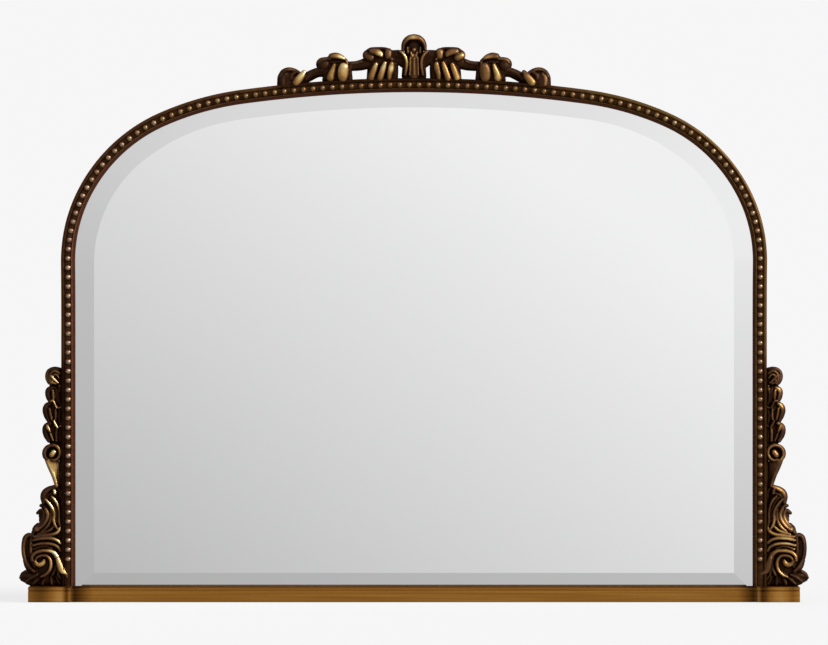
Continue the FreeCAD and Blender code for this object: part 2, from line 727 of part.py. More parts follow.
rail_round = rail_body.newObject("PartDesign::Fillet", "rail_round")
rail_round.Base = (rail_quirk, edges_at(rail_quirk.Shape, lambda spot, edge: near(spot.y, -s.base_depth)
                                        and near(spot.z, s.base_height) and near(spot.x, 0)))
bind(rail_round, "Radius", "base_edge_round")
doc.recompute()

# plinth dowels, level between the rail and the blocks, in front of the groove and below the quirk
plinth_dowel_y = (back_y - glass_front - s.glass_clearance - s.base_depth) / 2
plinth_dowel_z = s.quirk_height / 2
plinth_dowel_spots = [Vector(plinth_start - s.dowel_length / 2, plinth_dowel_y, plinth_dowel_z),
                      Vector(plinth_start - s.dowel_length / 2, -s.dowel_diameter, plinth_dowel_z)]
plinth_dowels = [placed(dowel.Shape, spot, level) for spot in plinth_dowel_spots]
dowel_hole_length = s.dowel_length + 2 * s.dowel_end_space
plinth_dowel_holes = [hole(spot - Vector(s.dowel_end_space, 0, 0), Vector(1, 0, 0), dowel_hole_length,
                           s.dowel_diameter) for spot in plinth_dowel_spots]
feature("plinth_dowels", Part.makeCompound(plinth_dowels + [mirrored(one) for one in plinth_dowels]))
rail_holes = plinth_dowel_holes + [mirrored(one) for one in plinth_dowel_holes]
feature("base_rail", drilled(rail_body.Shape, rail_holes))


# plinth blocks: a bowed front with a rounded inner return, in three layers that leave the quirk
def plinth_layer(inset, bottom, top):
    """One layer of the right block: plan outline with the bowed front set back by an inset."""
    front = -s.base_depth - s.plinth_proud + inset
    left, right = plinth_start, plinth_end - inset
    turn_in = left + s.plinth_round
    diagonal = s.plinth_round * (1 - math.sqrt(0.5))
    nodes = [Vector(left, 0, bottom), Vector(left, front + s.plinth_round, bottom),
             Vector(left + diagonal, front + diagonal, bottom), Vector(turn_in, front, bottom),
             Vector((turn_in + right) / 2, front - s.plinth_bow / 2, bottom),
             Vector(right, front + s.plinth_bow, bottom), Vector(right, 0, bottom)]
    wire = Part.Wire([Part.makeLine(nodes[0], nodes[1]), Part.Arc(*nodes[1:4]).toShape(),
                      Part.Arc(*nodes[3:6]).toShape(), Part.makeLine(nodes[5], nodes[6]),
                      Part.makeLine(nodes[6], nodes[0])])
    return Part.Face(wire).extrude(Vector(0, 0, top - bottom))


plinth_shape = plinth_layer(0, 0, s.quirk_height)
plinth_shape = one_solid(plinth_shape.fuse([
    plinth_layer(s.quirk_depth, s.quirk_height, s.quirk_height + s.quirk_width),
    plinth_layer(0, s.quirk_height + s.quirk_width, s.base_height)]))
top_edges = [edge for edge in plinth_shape.Edges
             if near(edge.BoundBox.ZMin, s.base_height) and near(edge.BoundBox.ZMax, s.base_height)
             and edge.BoundBox.YMax < -s.base_depth / 2]
plinth_shape = plinth_shape.makeFillet(s.base_edge_round, top_edges)
plinth_shape = drilled(plinth_shape, foot_holes + plinth_dowel_holes)
feature("right_plinth_block", plinth_shape)
feature("left_plinth_block", mirrored(plinth_shape))

# glass: a flat plate with a wide bevel round the field
edge_depth = glass_front - s.bevel_drop
plate = Part.Face(arch_outline(s.glass_lap, glass_bottom, glass_back))
plate = plate.extrude(Vector(0, glass_back - edge_depth, 0))
field_offset = s.glass_lap - s.bevel_width
bevel = Part.makeLoft([arch_outline(s.glass_lap, glass_bottom, edge_depth),
                       arch_outline(field_offset, glass_bottom + s.bevel_width, glass_front, s.field_rise)],
                      True, True)
feature("mirror_glass", one_solid(plate.fuse(bevel)))
for side in (-1, 1):
    block = doc.addObject("Part::Box", "setting_block_%d" % (side + 1))
    bind(block, "Length", "setting_block_length")
    bind(block, "Width", "glass_thickness")
    bind(block, "Height", "setting_block_height")
    bind(block, "Placement.Base.x", "%g * sight_width / 4 - setting_block_length / 2" % side)
    bind(block, "Placement.Base.y", "-wall_gap - " + GLASS_FRONT)
    bind(block, "Placement.Base.z", "base_height - bottom_lap - setting_block_height")
blocks = doc.addObject("Part::Compound", "glass_setting_blocks")
blocks.Links = [doc.setting_block_0, doc.setting_block_2]

# cork pads and back board
PAD_SHARES = [(0.85, 0.16), (0.85, 0.5), (0.8, 0.86), (0.4, 0.16), (0.4, 0.5), (0.4, 0.86)]
crown_height = Arch.crown[1] + Arch.crown_radius
pads = []
for across, up in PAD_SHARES:
    height = s.base_height + up * (crown_height - s.base_height)
    spot = Vector(across * sight_half, back_y - glass_back, height)
    pads.append(Part.makeCylinder(s.pad_diameter / 2, s.pad_thickness, spot, Vector(0, 1, 0)))
feature("spacer_pads", Part.makeCompound(pads + [mirrored(one) for one in pads]))
board = Part.Face(arch_outline(s.glass_lap - s.board_clearance, glass_bottom, board_front))
feature("back_board", board.extrude(Vector(0, s.board_thickness, 0)))

# wall bumpers on the back of the arch
BUMPER_SHARE = 0.78
bumper_angle = BUMPER_SHARE * math.pi / 2
bumper_spot = arch_point(bumper_angle, (s.rebate_width + s.moulding_width) / 2)
bumper_spot = bumper_spot + Vector(0, back_y, 0)
bumper = Part.makeCylinder(s.bumper_diameter / 2, s.wall_gap, bumper_spot, Vector(0, 1, 0))
rim = [edge for edge in bumper.Edges if near(edge.BoundBox.YMin, 0) and near(edge.BoundBox.YMax, 0)]
bumper = bumper.makeFillet(s.bumper_round, rim)
feature("wall_bumpers", Part.makeCompound([bumper, mirrored(bumper)]))


# ornaments: a pierced plate with rounded lobes, stalks and scrolls raised on it
plate_back = back_y - s.ornament_set_back
plate_front = plate_back - s.ornament_plate


def spline_face(nodes, base):
    """A face bounded by a smooth curve through the nodes and by straight lines through the base nodes."""
    curve = Part.BSplineCurve()
    curve.interpolate(nodes)
    corners = [nodes[-1]] + base + [nodes[0]]
    lines = [Part.makeLine(start, end) for start, end in zip(corners, corners[1:])]
    return Part.Face(Part.Wire([curve.toShape()] + lines))


def lobe(start, end, first, last):
    """A rounded finger between two spots of the plate's front, with a radius at each end."""
    along = end - start
    length = along.Length
    along.normalize()
    into = Vector(0, 1, 0)
    lean = (first - last) / length
    rise = math.sqrt(1 - lean ** 2)
    low_bend = (along * (lean - 1) + into * rise).normalize()
    high_bend = (along * (lean + 1) + into * rise).normalize()
    side = along * lean + into * rise
    low = [start - along * first, start + low_bend * first, start + side * first]
    high = [end + side * last, end + high_bend * last, end + along * last]
    outline = Part.Wire([Part.Arc(*low).toShape(), Part.makeLine(low[2], high[0]), Part.Arc(*high).toShape(),
                         Part.makeLine(high[2], low[0])])
    return Part.Face(outline).revolve(start, along, 360)


def scroll(centre, radius, tube, first, sweep):
    """A round-wire arc in the plate's front plane, with round ends."""
    if sweep >= 360:
        return Part.makeTorus(radius, tube, centre, Vector(0, -1, 0))
    starts = [centre + Vector(math.cos(math.radians(turn)), 0, math.sin(math.radians(turn))) * radius
              for turn in (first, first + sweep)]
    tangent = Vector(-math.sin(math.radians(first)), 0, math.cos(math.radians(first)))
    disc = Part.Face(Part.Wire(Part.makeCircle(tube, starts[0], tangent)))
    arc = disc.revolve(centre, Vector(0, -1, 0), sweep)
    return arc.fuse([Part.makeSphere(tube, spot) for spot in starts])


# crest: shares of half its width and of its height above the crown, from the outer end to the middle
CREST_TOP_SHARES = [
    (1.0, -0.2), (1.0, 0.05), (0.975, 0.19), (0.93, 0.245), (0.87, 0.21), (0.83, 0.15), (0.77, 0.19),
    (0.705, 0.225), (0.715, 0.33), (0.685, 0.44), (0.64, 0.485), (0.6, 0.575), (0.55, 0.545), (0.51, 0.445),
    (0.46, 0.36), (0.39, 0.39), (0.37, 0.53), (0.325, 0.69), (0.25, 0.71), (0.17, 0.665), (0.12, 0.615),
    (0.09, 0.65), (0.085, 0.79), (0.055, 0.94), (0, 1.0)]
CREST_HOLE_SHARES = [
    [(0.785, -0.3), (0.785, -0.06), (0.73, 0.02), (0.655, 0.04), (0.69, -0.08), (0.69, -0.3)],
    [(0.455, -0.3), (0.455, -0.02), (0.44, 0.11), (0.4, 0.165), (0.345, 0.14), (0.335, -0.02), (0.335, -0.3)],
    [(0.125, -0.3), (0.125, 0.16), (0.105, 0.22), (0.085, 0.17), (0.085, -0.3)]]
CREST_LOBE_SHARES = [
    ((0.78, 0.16), (0.96, -0.04), 0.08, 0.1), ((0.86, 0.1), (0.985, 0.07), 0.06, 0.05),
    ((0.92, 0.16), (0.95, 0.19), 0.08, 0.06), ((0.7, 0.17), (0.8, 0.14), 0.05, 0.05),
    ((0.6, 0.46), (0.62, 0.42), 0.11, 0.1), ((0.69, 0.34), (0.66, 0.3), 0.08, 0.07),
    ((0.55, 0.4), (0.53, 0.36), 0.09, 0.08), ((0.6, 0.24), (0.62, 0.02), 0.07, 0.05),
    ((0.53, 0.24), (0.52, 0.01), 0.11, 0.08), ((0.47, 0.3), (0.38, 0.32), 0.05, 0.05),
    ((0.33, 0.6), (0.345, 0.46), 0.09, 0.07), ((0.255, 0.62), (0.27, 0.49), 0.09, 0.07),
    ((0.18, 0.57), (0.2, 0.46), 0.09, 0.07), ((0.275, 0.36), (0.32, 0.03), 0.07, 0.05),
    ((0.21, 0.36), (0.24, 0.03), 0.07, 0.05), ((0.155, 0.33), (0.17, 0.03), 0.07, 0.05)]
CREST_SCROLL_SHARES = [((0.095, 0.3), 0.26, 0.055, 110, 140)]
CREST_KNOB_SHARES = (0.72, 0.25)
CREST_REED_SHARES = [0, 0.019, 0.037]
REED_SIZE_SHARES = (0.03, 0.38, 0.035)
CREST_UNIT_SHARE = 0.16
crest_half = s.crest_width / 2
crest_unit = min(s.crest_height, CREST_UNIT_SHARE * s.crest_width)


def crest_spot(share, y):
    """A spot of the crest; its heights start at the arch's outer curve."""
    across = share[0] * crest_half
    ground = outer_spot(across)[0].z
    return Vector(across, y, ground + share[1] * (crest_base + s.crest_height - ground))


top = [crest_spot(share, plate_back) for share in CREST_TOP_SHARES]
floor = crest_base - s.crest_height
base_line = [Vector(0, plate_back, floor), Vector(crest_half, plate_back, floor)]
crest_plate = spline_face(top, base_line).extrude(Vector(0, -s.ornament_plate - s.ornament_relief / 3, 0))
crest_ground = Part.Face(arch_outline(s.moulding_width - s.crest_lap, s.base_height, 4 * s.frame_depth))
crest_ground = crest_ground.extrude(Vector(0, 4 * s.frame_depth, 0))
lobe_y = plate_front - s.ornament_relief / 3 + s.crest_lobe_sink
raised = []
for start, end, first, last in CREST_LOBE_SHARES:
    raised.append(lobe(crest_spot(start, lobe_y), crest_spot(end, lobe_y),
                       first * crest_unit, last * crest_unit))
for spot, radius, tube, first, sweep in CREST_SCROLL_SHARES:
    raised.append(scroll(crest_spot(spot, lobe_y), radius * crest_unit, tube * crest_unit, first, sweep))
knob_high, knob_radius = CREST_KNOB_SHARES
knob = Part.makeSphere(knob_radius * crest_unit, crest_spot((0, knob_high), lobe_y))
reed_low, reed_high, reed_radius = REED_SIZE_SHARES
reeds = [lobe(crest_spot((share, reed_low), lobe_y), crest_spot((share, reed_high - 2 * share), lobe_y),
              reed_radius * crest_unit, reed_radius * crest_unit) for share in CREST_REED_SHARES]
gaps = []
for shares in CREST_HOLE_SHARES:
    nodes = [crest_spot(share, plate_back + s.ornament_plate) for share in shares]
    gaps.append(spline_face(nodes, []).extrude(Vector(0, -6 * s.ornament_plate, 0)))
band_front = back_y - s.frame_depth - s.ornament_gap
arch_clear = Part.Face(arch_outline(s.moulding_width, s.base_height, s.frame_depth + s.ornament_gap))
arch_clear = arch_clear.extrude(Vector(0, 4 * s.frame_depth, 0))
behind = Part.makeBox(2 * s.crest_width, s.crest_width, 4 * s.crest_width,
                      Vector(-s.crest_width, plate_back, crest_base - 2 * s.crest_width))
raised = raised + reeds[1:]
raised = raised + [mirrored(one) for one in raised] + [reeds[0], knob]
crest_shape = one_solid(crest_plate.fuse(mirrored(crest_plate))).fuse(raised)
crest_tools = gaps + [mirrored(gap) for gap in gaps] + [crest_ground.fuse(arch_clear), behind]
crest_shape = crest_shape.cut(crest_tools)
feature("crest_ornament", drilled(one_solid(crest_shape), crest_pin_holes))

# side ornament: shares of its width out from the stile's outer face and of its height above the block
SIDE_EDGE_SHARES = [
    (0.02, 0.989), (0.16, 1.0), (0.3, 0.987), (0.36, 0.96), (0.335, 0.935), (0.27, 0.914), (0.345, 0.895),
    (0.36, 0.882), (0.3, 0.846), (0.4, 0.82), (0.435, 0.803), (0.34, 0.748), (0.43, 0.729), (0.447, 0.714),
    (0.335, 0.659), (0.43, 0.634), (0.457, 0.604), (0.415, 0.567), (0.32, 0.538), (0.225, 0.506),
    (0.175, 0.468), (0.355, 0.444), (0.46, 0.426), (0.49, 0.403), (0.47, 0.377), (0.53, 0.363),
    (0.52, 0.349), (0.6, 0.33), (0.515, 0.306), (0.56, 0.287), (0.665, 0.266), (0.71, 0.241), (0.795, 0.239),
    (0.89, 0.217), (0.945, 0.176), (0.925, 0.126), (0.845, 0.082), (0.963, 0.057), (1.0, 0.039),
    (0.915, 0.021), (0.775, 0.0)]
SIDE_LOBE_SHARES = [
    ((0.22, 0.89), (0.06, 0.84), 0.13, 0.07), ((0.29, 0.81), (0.1, 0.775), 0.13, 0.07),
    ((0.3, 0.72), (0.1, 0.69), 0.13, 0.07), ((0.14, 0.55), (0.1, 0.48), 0.12, 0.08),
    ((0.3, 0.41), (0.16, 0.37), 0.15, 0.1), ((0.42, 0.345), (0.24, 0.33), 0.1, 0.1),
    ((0.47, 0.29), (0.2, 0.29), 0.09, 0.12), ((0.58, 0.25), (0.2, 0.23), 0.08, 0.13),
    ((0.82, 0.2), (0.8, 0.1), 0.09, 0.09), ((0.82, 0.04), (0.66, 0.03), 0.1, 0.09),
    ((0.5, 0.03), (0.2, 0.03), 0.09, 0.09)]
SIDE_SCROLL_SHARES = [
    ((0.17, 0.955), 0.12, 0.055, 0, 360), ((0.25, 0.6), 0.13, 0.055, 0, 360),
    ((0.46, 0.12), 0.24, 0.09, 0, 360)]
SIDE_EYE_SHARES = [((0.46, 0.12), 0.1), ((0.25, 0.6), 0.055), ((0.17, 0.955), 0.05)]


def side_spot(share, y):
    """A spot of the right side ornament."""
    return Vector(outer_half + share[0] * s.side_ornament_width, y,
                  s.base_height + share[1] * s.side_ornament_height)


edge_nodes = [side_spot(share, plate_back) for share in SIDE_EDGE_SHARES]
inner = outer_half - s.side_ornament_lap
inner_line = [Vector(inner, plate_back, s.base_height), Vector(inner, plate_back, edge_nodes[0].z)]
side_plate = spline_face(edge_nodes, inner_line)
side_plate = side_plate.extrude(Vector(0, -s.ornament_plate - s.ornament_relief / 3, 0))
lobe_y = plate_front - s.ornament_relief / 3 + s.side_lobe_sink
raised = []
for start, end, first, last in SIDE_LOBE_SHARES:
    raised.append(lobe(side_spot(start, lobe_y), side_spot(end, lobe_y),
                       first * s.side_ornament_width, last * s.side_ornament_width))
for spot, radius, tube, first, sweep in SIDE_SCROLL_SHARES:
    raised.append(scroll(side_spot(spot, lobe_y), radius * s.side_ornament_width,
                         tube * s.side_ornament_width, first, sweep))
for spot, radius in SIDE_EYE_SHARES:
    raised.append(Part.makeSphere(radius * s.side_ornament_width, side_spot(spot, lobe_y)))
side_shape = side_plate.fuse(raised)
stile_clear = Part.makeBox(outer_half, 4 * s.frame_depth, 2 * s.spring_height, Vector(0, band_front, 0))
far_front = Vector(0, band_front - 4 * s.frame_depth, 0)
inner_clear = Part.makeBox(inner, 8 * s.frame_depth, 2 * s.spring_height, far_front)
below = Part.makeBox(4 * outer_half, 8 * s.frame_depth, s.base_height, far_front)
behind = Part.makeBox(4 * outer_half, 4 * s.frame_depth, 2 * s.spring_height, Vector(0, plate_back, 0))
side_shape = side_shape.cut(Part.makeCompound([stile_clear])).cut(inner_clear).cut(below).cut(behind)
side_shape = drilled(side_shape, side_pin_holes)
feature("right_side_ornament", side_shape)
feature("left_side_ornament", mirrored(side_shape))

NODES = [
    "crown", "left_haunch", "right_haunch", "left_stile", "right_stile", "left_bead_moulding",
    "right_bead_moulding", "base_rail", "left_plinth_block", "right_plinth_block", "mirror_glass",
    "glass_setting_blocks", "spacer_pads", "back_board", "back_clips", "back_clip_screws", "crest_ornament",
    "crest_pins", "left_side_ornament", "right_side_ornament", "left_ornament_pins", "right_ornament_pins",
    "arch_dowels", "plinth_dowels", "foot_screws", "left_hanger_plate", "right_hanger_plate",
    "left_hanger_ring", "right_hanger_ring", "hanger_screws", "wall_bumpers"]
GROUPS = {"glass_setting_blocks", "spacer_pads", "back_clips", "back_clip_screws", "crest_pins",
          "left_ornament_pins", "right_ornament_pins", "arch_dowels", "plinth_dowels", "foot_screws",
          "hanger_screws", "wall_bumpers"}
doc.recompute()
for obj in doc.Objects:
    if "Invalid" in obj.State or "Error" in obj.State:
        raise RuntimeError(obj.Name + " did not compute")
os.makedirs("parts", exist_ok=True)
for name in NODES:
    shape = doc.getObject(name).Shape
    solids = len(shape.Solids)
    if not shape.isValid() or not solids or (solids > 1 and name not in GROUPS):
        raise RuntimeError("%s has %d solids, valid %s" % (name, solids, shape.isValid()))
    shape.exportStep("parts/%s.step" % name)
    print(name, solids, "solids", round(shape.Volume), "mm3")
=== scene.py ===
import bpy
import math
import numpy as np
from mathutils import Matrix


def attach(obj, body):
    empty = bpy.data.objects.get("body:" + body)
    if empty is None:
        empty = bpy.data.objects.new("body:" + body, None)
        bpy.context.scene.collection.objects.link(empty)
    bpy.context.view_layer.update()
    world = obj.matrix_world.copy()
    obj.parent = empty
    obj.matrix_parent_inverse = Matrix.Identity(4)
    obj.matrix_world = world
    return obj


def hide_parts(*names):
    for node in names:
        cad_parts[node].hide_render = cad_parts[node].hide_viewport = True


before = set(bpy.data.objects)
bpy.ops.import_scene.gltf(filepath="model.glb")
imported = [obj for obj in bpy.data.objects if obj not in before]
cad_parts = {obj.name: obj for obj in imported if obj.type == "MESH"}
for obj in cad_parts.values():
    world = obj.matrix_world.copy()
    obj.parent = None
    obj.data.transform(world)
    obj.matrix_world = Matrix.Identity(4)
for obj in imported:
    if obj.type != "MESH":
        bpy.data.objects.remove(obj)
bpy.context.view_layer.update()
MM = 0.001

# sizes of the frame in millimetres, as the model has them
SIGHT_HALF = 481.5
SPRING = 482.0
MOULDING = 20.5
BACK_Y = -8.0
BASE_HEIGHT = 22.0
TURNS = np.radians([0.0, 65.9, 82.2, 90.0])
RADII = [213.0, 408.0]
CENTRES = [(SIGHT_HALF - RADII[0], SPRING)]
CENTRES.append((CENTRES[0][0] - (RADII[1] - RADII[0]) * math.cos(TURNS[1]),
                CENTRES[0][1] - (RADII[1] - RADII[0]) * math.sin(TURNS[1])))
RADII.append(RADII[1] + CENTRES[1][0] / math.cos(TURNS[2]))
CENTRES.append((0.0, CENTRES[1][1] - CENTRES[1][0] * math.tan(TURNS[2])))

# orders of a quad's corners, as the grid gives them and two that face the other way, and the two halves
FORWARD = [0, 1, 2, 3]
MIRRORED = [3, 2, 1, 0]
TURNED = [0, 3, 2, 1]
SIDES = ((-1, "left"), (1, "right"))


def new_object(name, data):
    """An object of some data, in the scene."""
    made = bpy.data.objects.new(name, data)
    bpy.context.scene.collection.objects.link(made)
    return made


def make_piece(name, verts, faces, material, slot, node, crease, attributes):
    """One mesh object from vertices in millimetres and faces, in place of a CAD node.

    Edges that bend by more than the crease, in degrees, are sharp. An attribute has a value a vertex."""
    mesh = bpy.data.meshes.new(name)
    mesh.from_pydata((np.asarray(verts) * MM).tolist(), [], [list(face) for face in faces])
    mesh.update()
    mesh.polygons.foreach_set("use_smooth", np.ones(len(mesh.polygons), bool))
    mesh.set_sharp_from_angle(angle=math.radians(crease))
    for key, values in attributes.items():
        layer = mesh.attributes.new(key, "FLOAT", "POINT")
        layer.data.foreach_set("value", np.asarray(values, np.float32))
    mesh.materials.append(material)
    piece = new_object(name, mesh)
    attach(piece, "mirror")
    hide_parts(node)


# materials
def node_tools(tree):
    """Two short forms for a node tree: add makes a node, and feed sets or joins a node's inputs."""
    def feed(node, inputs):
        for key, value in inputs.items():
            if isinstance(value, bpy.types.NodeSocket):
                tree.links.new(value, node.inputs[key])
            else:
                node.inputs[key].default_value = value

    def add(kind, inputs=None, **settings):
        node = tree.nodes.new(kind)
        for key, value in settings.items():
            setattr(node, key, value)
        feed(node, inputs or {})
        return node

    return add, feed


def new_material(name):
    """A node material, its shader and the short forms for its node tree."""
    material = bpy.data.materials.new(name)
    material.use_nodes = True
    tree = material.node_tree
    return (material, tree.nodes["Principled BSDF"], *node_tools(tree))


def ramp(add, value, stops):
    """A colour ramp over a value, from (place, colour) stops."""
    node = add("ShaderNodeValToRGB", {"Fac": value})
    element = node.color_ramp.elements
    while len(element) < len(stops):
        element.new(1.0)
    for spot, (place, colour) in zip(element, stops):
        spot.position = place
        spot.color = (*colour, 1.0)
    return node.outputs["Color"]


def math_node(add, operation, *values):
    """The result of a math node."""
    return add("ShaderNodeMath", dict(enumerate(values)), operation=operation).outputs[0]


def weighed(add, start, *terms):
    """A start plus each term's value times its weight."""
    for value, weight in terms:
        start = math_node(add, "MULTIPLY_ADD", value, weight, start)
    return start


def held(add, value, low, high):
    """A value kept between two limits."""
    return math_node(add, "MINIMUM", math_node(add, "MAXIMUM", value, low), high)


def mapped(add, value, ends, first=0.0, last=1.0, **settings):
    """A value from first to last, carried over to a pair of ends."""
    inputs = {"Value": value, "From Min": first, "From Max": last, "To Min": ends[0], "To Max": ends[1]}
    return add("ShaderNodeMapRange", inputs, **settings).outputs[0]


def object_place(add, stretch=(1.0, 1.0, 1.0)):
    """The place on the object, stretched along its axes."""
    place = add("ShaderNodeTexCoord").outputs["Object"]
    return add("ShaderNodeMapping", {"Vector": place, "Scale": stretch}).outputs[0]


def noise(add, place, scale, detail):
    """A noise over a place."""
    return add("ShaderNodeTexNoise", {"Vector": place, "Scale": scale, "Detail": detail}).outputs["Fac"]


def attribute(add, name):
    """A mesh attribute."""
    return add("ShaderNodeAttribute", attribute_name=name).outputs["Fac"]


def bumped(add, height, strength, distance=0.0004):
    """A normal that follows the bumps of a height."""
    return add("ShaderNodeBump", {"Height": height, "Strength": strength, "Distance": distance}).outputs[0]


def patina(name, stops, gilt_gain, cavity_gain, noise_gain, offset, metal, rough, olive=None):
    """Antique gilding: a ramp from umber to gold over the level of gilding, with painted light and shade in
    it, the cavity attribute and a broken noise.

    Where the olive attribute is set, the colour is multiplied by the olive tint."""
    material, shader, add, feed = new_material(name)
    place = object_place(add)
    cloud = noise(add, place, 108.0, 4.0)
    fine = noise(add, place, 900.0, 2.0)
    mix = weighed(add, offset - noise_gain, (cloud, noise_gain), (fine, noise_gain),
                  (attribute(add, "gilt"), gilt_gain))
    if cavity_gain:
        mix = weighed(add, mix, (attribute(add, "cavity"), cavity_gain))
    colour = ramp(add, mix, stops)
    if olive:
        inputs = {0: attribute(add, "olive"), 6: colour, 7: (*olive, 1.0)}
        colour = add("ShaderNodeMix", inputs, data_type="RGBA", blend_type="MULTIPLY").outputs[2]
    feed(shader, {"Base Color": colour, "Specular IOR Level": 0.35, "Specular Tint": (0.9, 0.45, 0.22, 1.0),
                  "Metallic": mapped(add, mix, metal), "Roughness": mapped(add, mix, rough),
                  "Normal": bumped(add, fine, 0.12)})
    return material


GOLD_STOPS = [(0.0, (0.014, 0.004, 0.0014)), (0.25, (0.052, 0.0235, 0.012)), (0.5, (0.19, 0.094, 0.036)),
              (0.75, (0.55, 0.305, 0.095)), (1.0, (1.0, 0.82, 0.42))]
CARVED = patina("antique_gilding", GOLD_STOPS, 0.9, 0.18, 0.3, 0.02, (0.3, 0.95), (0.48, 0.32))
FRAME_STOPS = [(0.0, (0.012, 0.004, 0.002)), (0.3, (0.075, 0.029, 0.011)), (0.6, (0.17, 0.078, 0.034)),
               (1.0, (0.40, 0.22, 0.12))]
BAND = patina("worn_bole", FRAME_STOPS, 0.8, 0.0, 0.3, 0.2, (0.7, 0.95), (0.42, 0.32), (0.92, 1.1, 0.7))
BEAD_STOPS = [(0.0, (0.024, 0.008, 0.003)), (0.4, (0.15, 0.062, 0.028)), (1.0, (0.96, 0.78, 0.62))]
BEAD = patina("worn_beads", BEAD_STOPS, 0.9, 0.0, 0.35, 0.05, (0.6, 0.95), (0.42, 0.27), (0.94, 0.98, 0.7))


def base_finish():
    """Satin gilding of the base: streaks along its length over a warm gold."""
    material, shader, add, feed = new_material("satin_gilding")
    streak = noise(add, object_place(add, (6.0, 60.0, 420.0)), 1.0, 4.0)
    fine = noise(add, object_place(add), 700.0, 2.0)
    mix = weighed(add, -0.235, (streak, 0.35), (fine, 0.12), (attribute(add, "gilt"), 1.0))
    stops = [(0.0, (0.020, 0.006, 0.001)), (0.35, (0.15, 0.058, 0.009)), (0.6, (0.35, 0.150, 0.024)),
             (0.85, (0.58, 0.33, 0.10)), (1.0, (0.62, 0.50, 0.38))]
    feed(shader, {"Base Color": ramp(add, mix, stops), "Specular Tint": (0.8, 0.5, 0.25, 1.0),
                  "Metallic": 0.8, "Roughness": mapped(add, mix, (0.9, 0.44), 0.1, 0.4),
                  "Normal": bumped(add, streak, 0.08)})
    return material


BASE = base_finish()


def silvered_glass():
    """The mirror plate: a bright silvered reflection under clear glass, with a trace of haze."""
    material, shader, add, feed = new_material("silvered_glass")
    haze = noise(add, object_place(add), 3.0, 3.0)
    colour = ramp(add, haze, [(0.3, (0.955, 0.965, 0.96)), (0.7, (0.965, 0.97, 0.965))])
    feed(shader, {"Base Color": colour, "Metallic": 1.0, "Roughness": 0.02})
    return material


SILVER = silvered_glass()


def plain_finish(name, dark, light, scale, metal, rough, stretch=(1.0, 1.0, 1.0), strength=0.1):
    """A simple procedural finish: noise between two colours, with a fine bump."""
    material, shader, add, feed = new_material(name)
    grain = noise(add, object_place(add, stretch), scale, 5.0)
    feed(shader, {"Base Color": ramp(add, grain, [(0.3, dark), (0.7, light)]), "Metallic": metal,
                  "Roughness": mapped(add, grain, (rough - 0.06, rough + 0.06)),
                  "Normal": bumped(add, grain, strength, 0.0003)})
    return material


# finishes of the pieces that keep the model's own meshes, by slot
PLAIN = {
    "hardboard": plain_finish("hardboard", (0.13, 0.075, 0.04), (0.21, 0.13, 0.075), 420.0, 0.0, 0.7),
    "cork": plain_finish("cork", (0.20, 0.11, 0.055), (0.42, 0.27, 0.15), 380.0, 0.0, 0.85, strength=0.4),
    "beech": plain_finish("beech", (0.44, 0.29, 0.16), (0.58, 0.41, 0.25), 60.0, 0.0, 0.55, (4.0, 4.0, 0.6)),
    "rubber": plain_finish("black_rubber", (0.018, 0.018, 0.019), (0.03, 0.03, 0.031), 500.0, 0.0, 0.7),
    "zinc": plain_finish("zinc_plate", (0.42, 0.43, 0.44), (0.58, 0.59, 0.60), 260.0, 1.0, 0.34),
    "ring_steel": plain_finish("ring_steel", (0.44, 0.44, 0.44), (0.58, 0.58, 0.58), 300.0, 1.0, 0.26),
}
for node, slot in {
        "glass_setting_blocks": "rubber", "spacer_pads": "cork", "back_board": "hardboard",
        "back_clips": "zinc", "back_clip_screws": "zinc", "crest_pins": "ring_steel",
        "left_ornament_pins": "ring_steel", "right_ornament_pins": "ring_steel", "arch_dowels": "beech",
        "plinth_dowels": "beech", "foot_screws": "zinc", "left_hanger_plate": "zinc",
        "right_hanger_plate": "zinc", "left_hanger_ring": "ring_steel", "right_hanger_ring": "ring_steel",
        "hanger_screws": "zinc", "wall_bumpers": "rubber"}.items():
    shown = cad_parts[node]
    shown.data.materials.clear()
    shown.data.materials.append(PLAIN[slot])


# lines and surfaces
def arch_run(part, degrees_step=1.0):
    """Sight-edge points and outward normals of one arc of the arch's right half, from its lower end up."""
    count = max(2, int(math.ceil(math.degrees(TURNS[part + 1] - TURNS[part]) / degrees_step)) + 1)
    angle = np.linspace(TURNS[part], TURNS[part + 1], count)
    normal = np.stack([np.cos(angle), np.sin(angle)], 1)
    return np.array(CENTRES[part]) + RADII[part] * normal, normal


def stile_line(count=40):
    """Sight-edge points and outward normals of the right stile, from the base up to the spring line."""
    points = np.stack([np.full(count, SIGHT_HALF), np.linspace(BASE_HEIGHT, SPRING, count)], 1)
    return points, np.tile([1.0, 0.0], (count, 1))


def joined(*runs):
    """Points and normals of runs that follow on: each run after the first leaves out its first point."""
    return [np.concatenate([runs[0][k]] + [run[k][1:] for run in runs[1:]]) for k in (0, 1)]


def grid_quads(rows, columns, closed=True):
    """Quads between the rows of a grid of vertices; a closed grid joins its last column to its first."""
    row, column = np.meshgrid(np.arange(rows - 1), np.arange(columns - (not closed)), indexing="ij")
    after = (column + 1) % columns
    here, ahead = row * columns, (row + 1) * columns
    return np.stack([here + column, here + after, ahead + after, ahead + column], -1).reshape(-1, 4)


def tube(verts, order):
    """A closed tube from rows of vertices: its quads, with their corners in an order, and two flat ends."""
    rows, columns = verts.shape[:2]
    ends = np.array([np.arange(columns)[::-1], (rows - 1) * columns + np.arange(columns)])
    if order != FORWARD:
        ends = ends[:, ::-1]
    return verts.reshape(-1, 3), grid_quads(rows, columns)[:, order].tolist() + ends.tolist()


def swell(height):
    """How far the moulding stands out past the true arc: a soft swelling just above the spring line."""
    return 0.9 * np.exp(-((height - 540) / 65) ** 2)


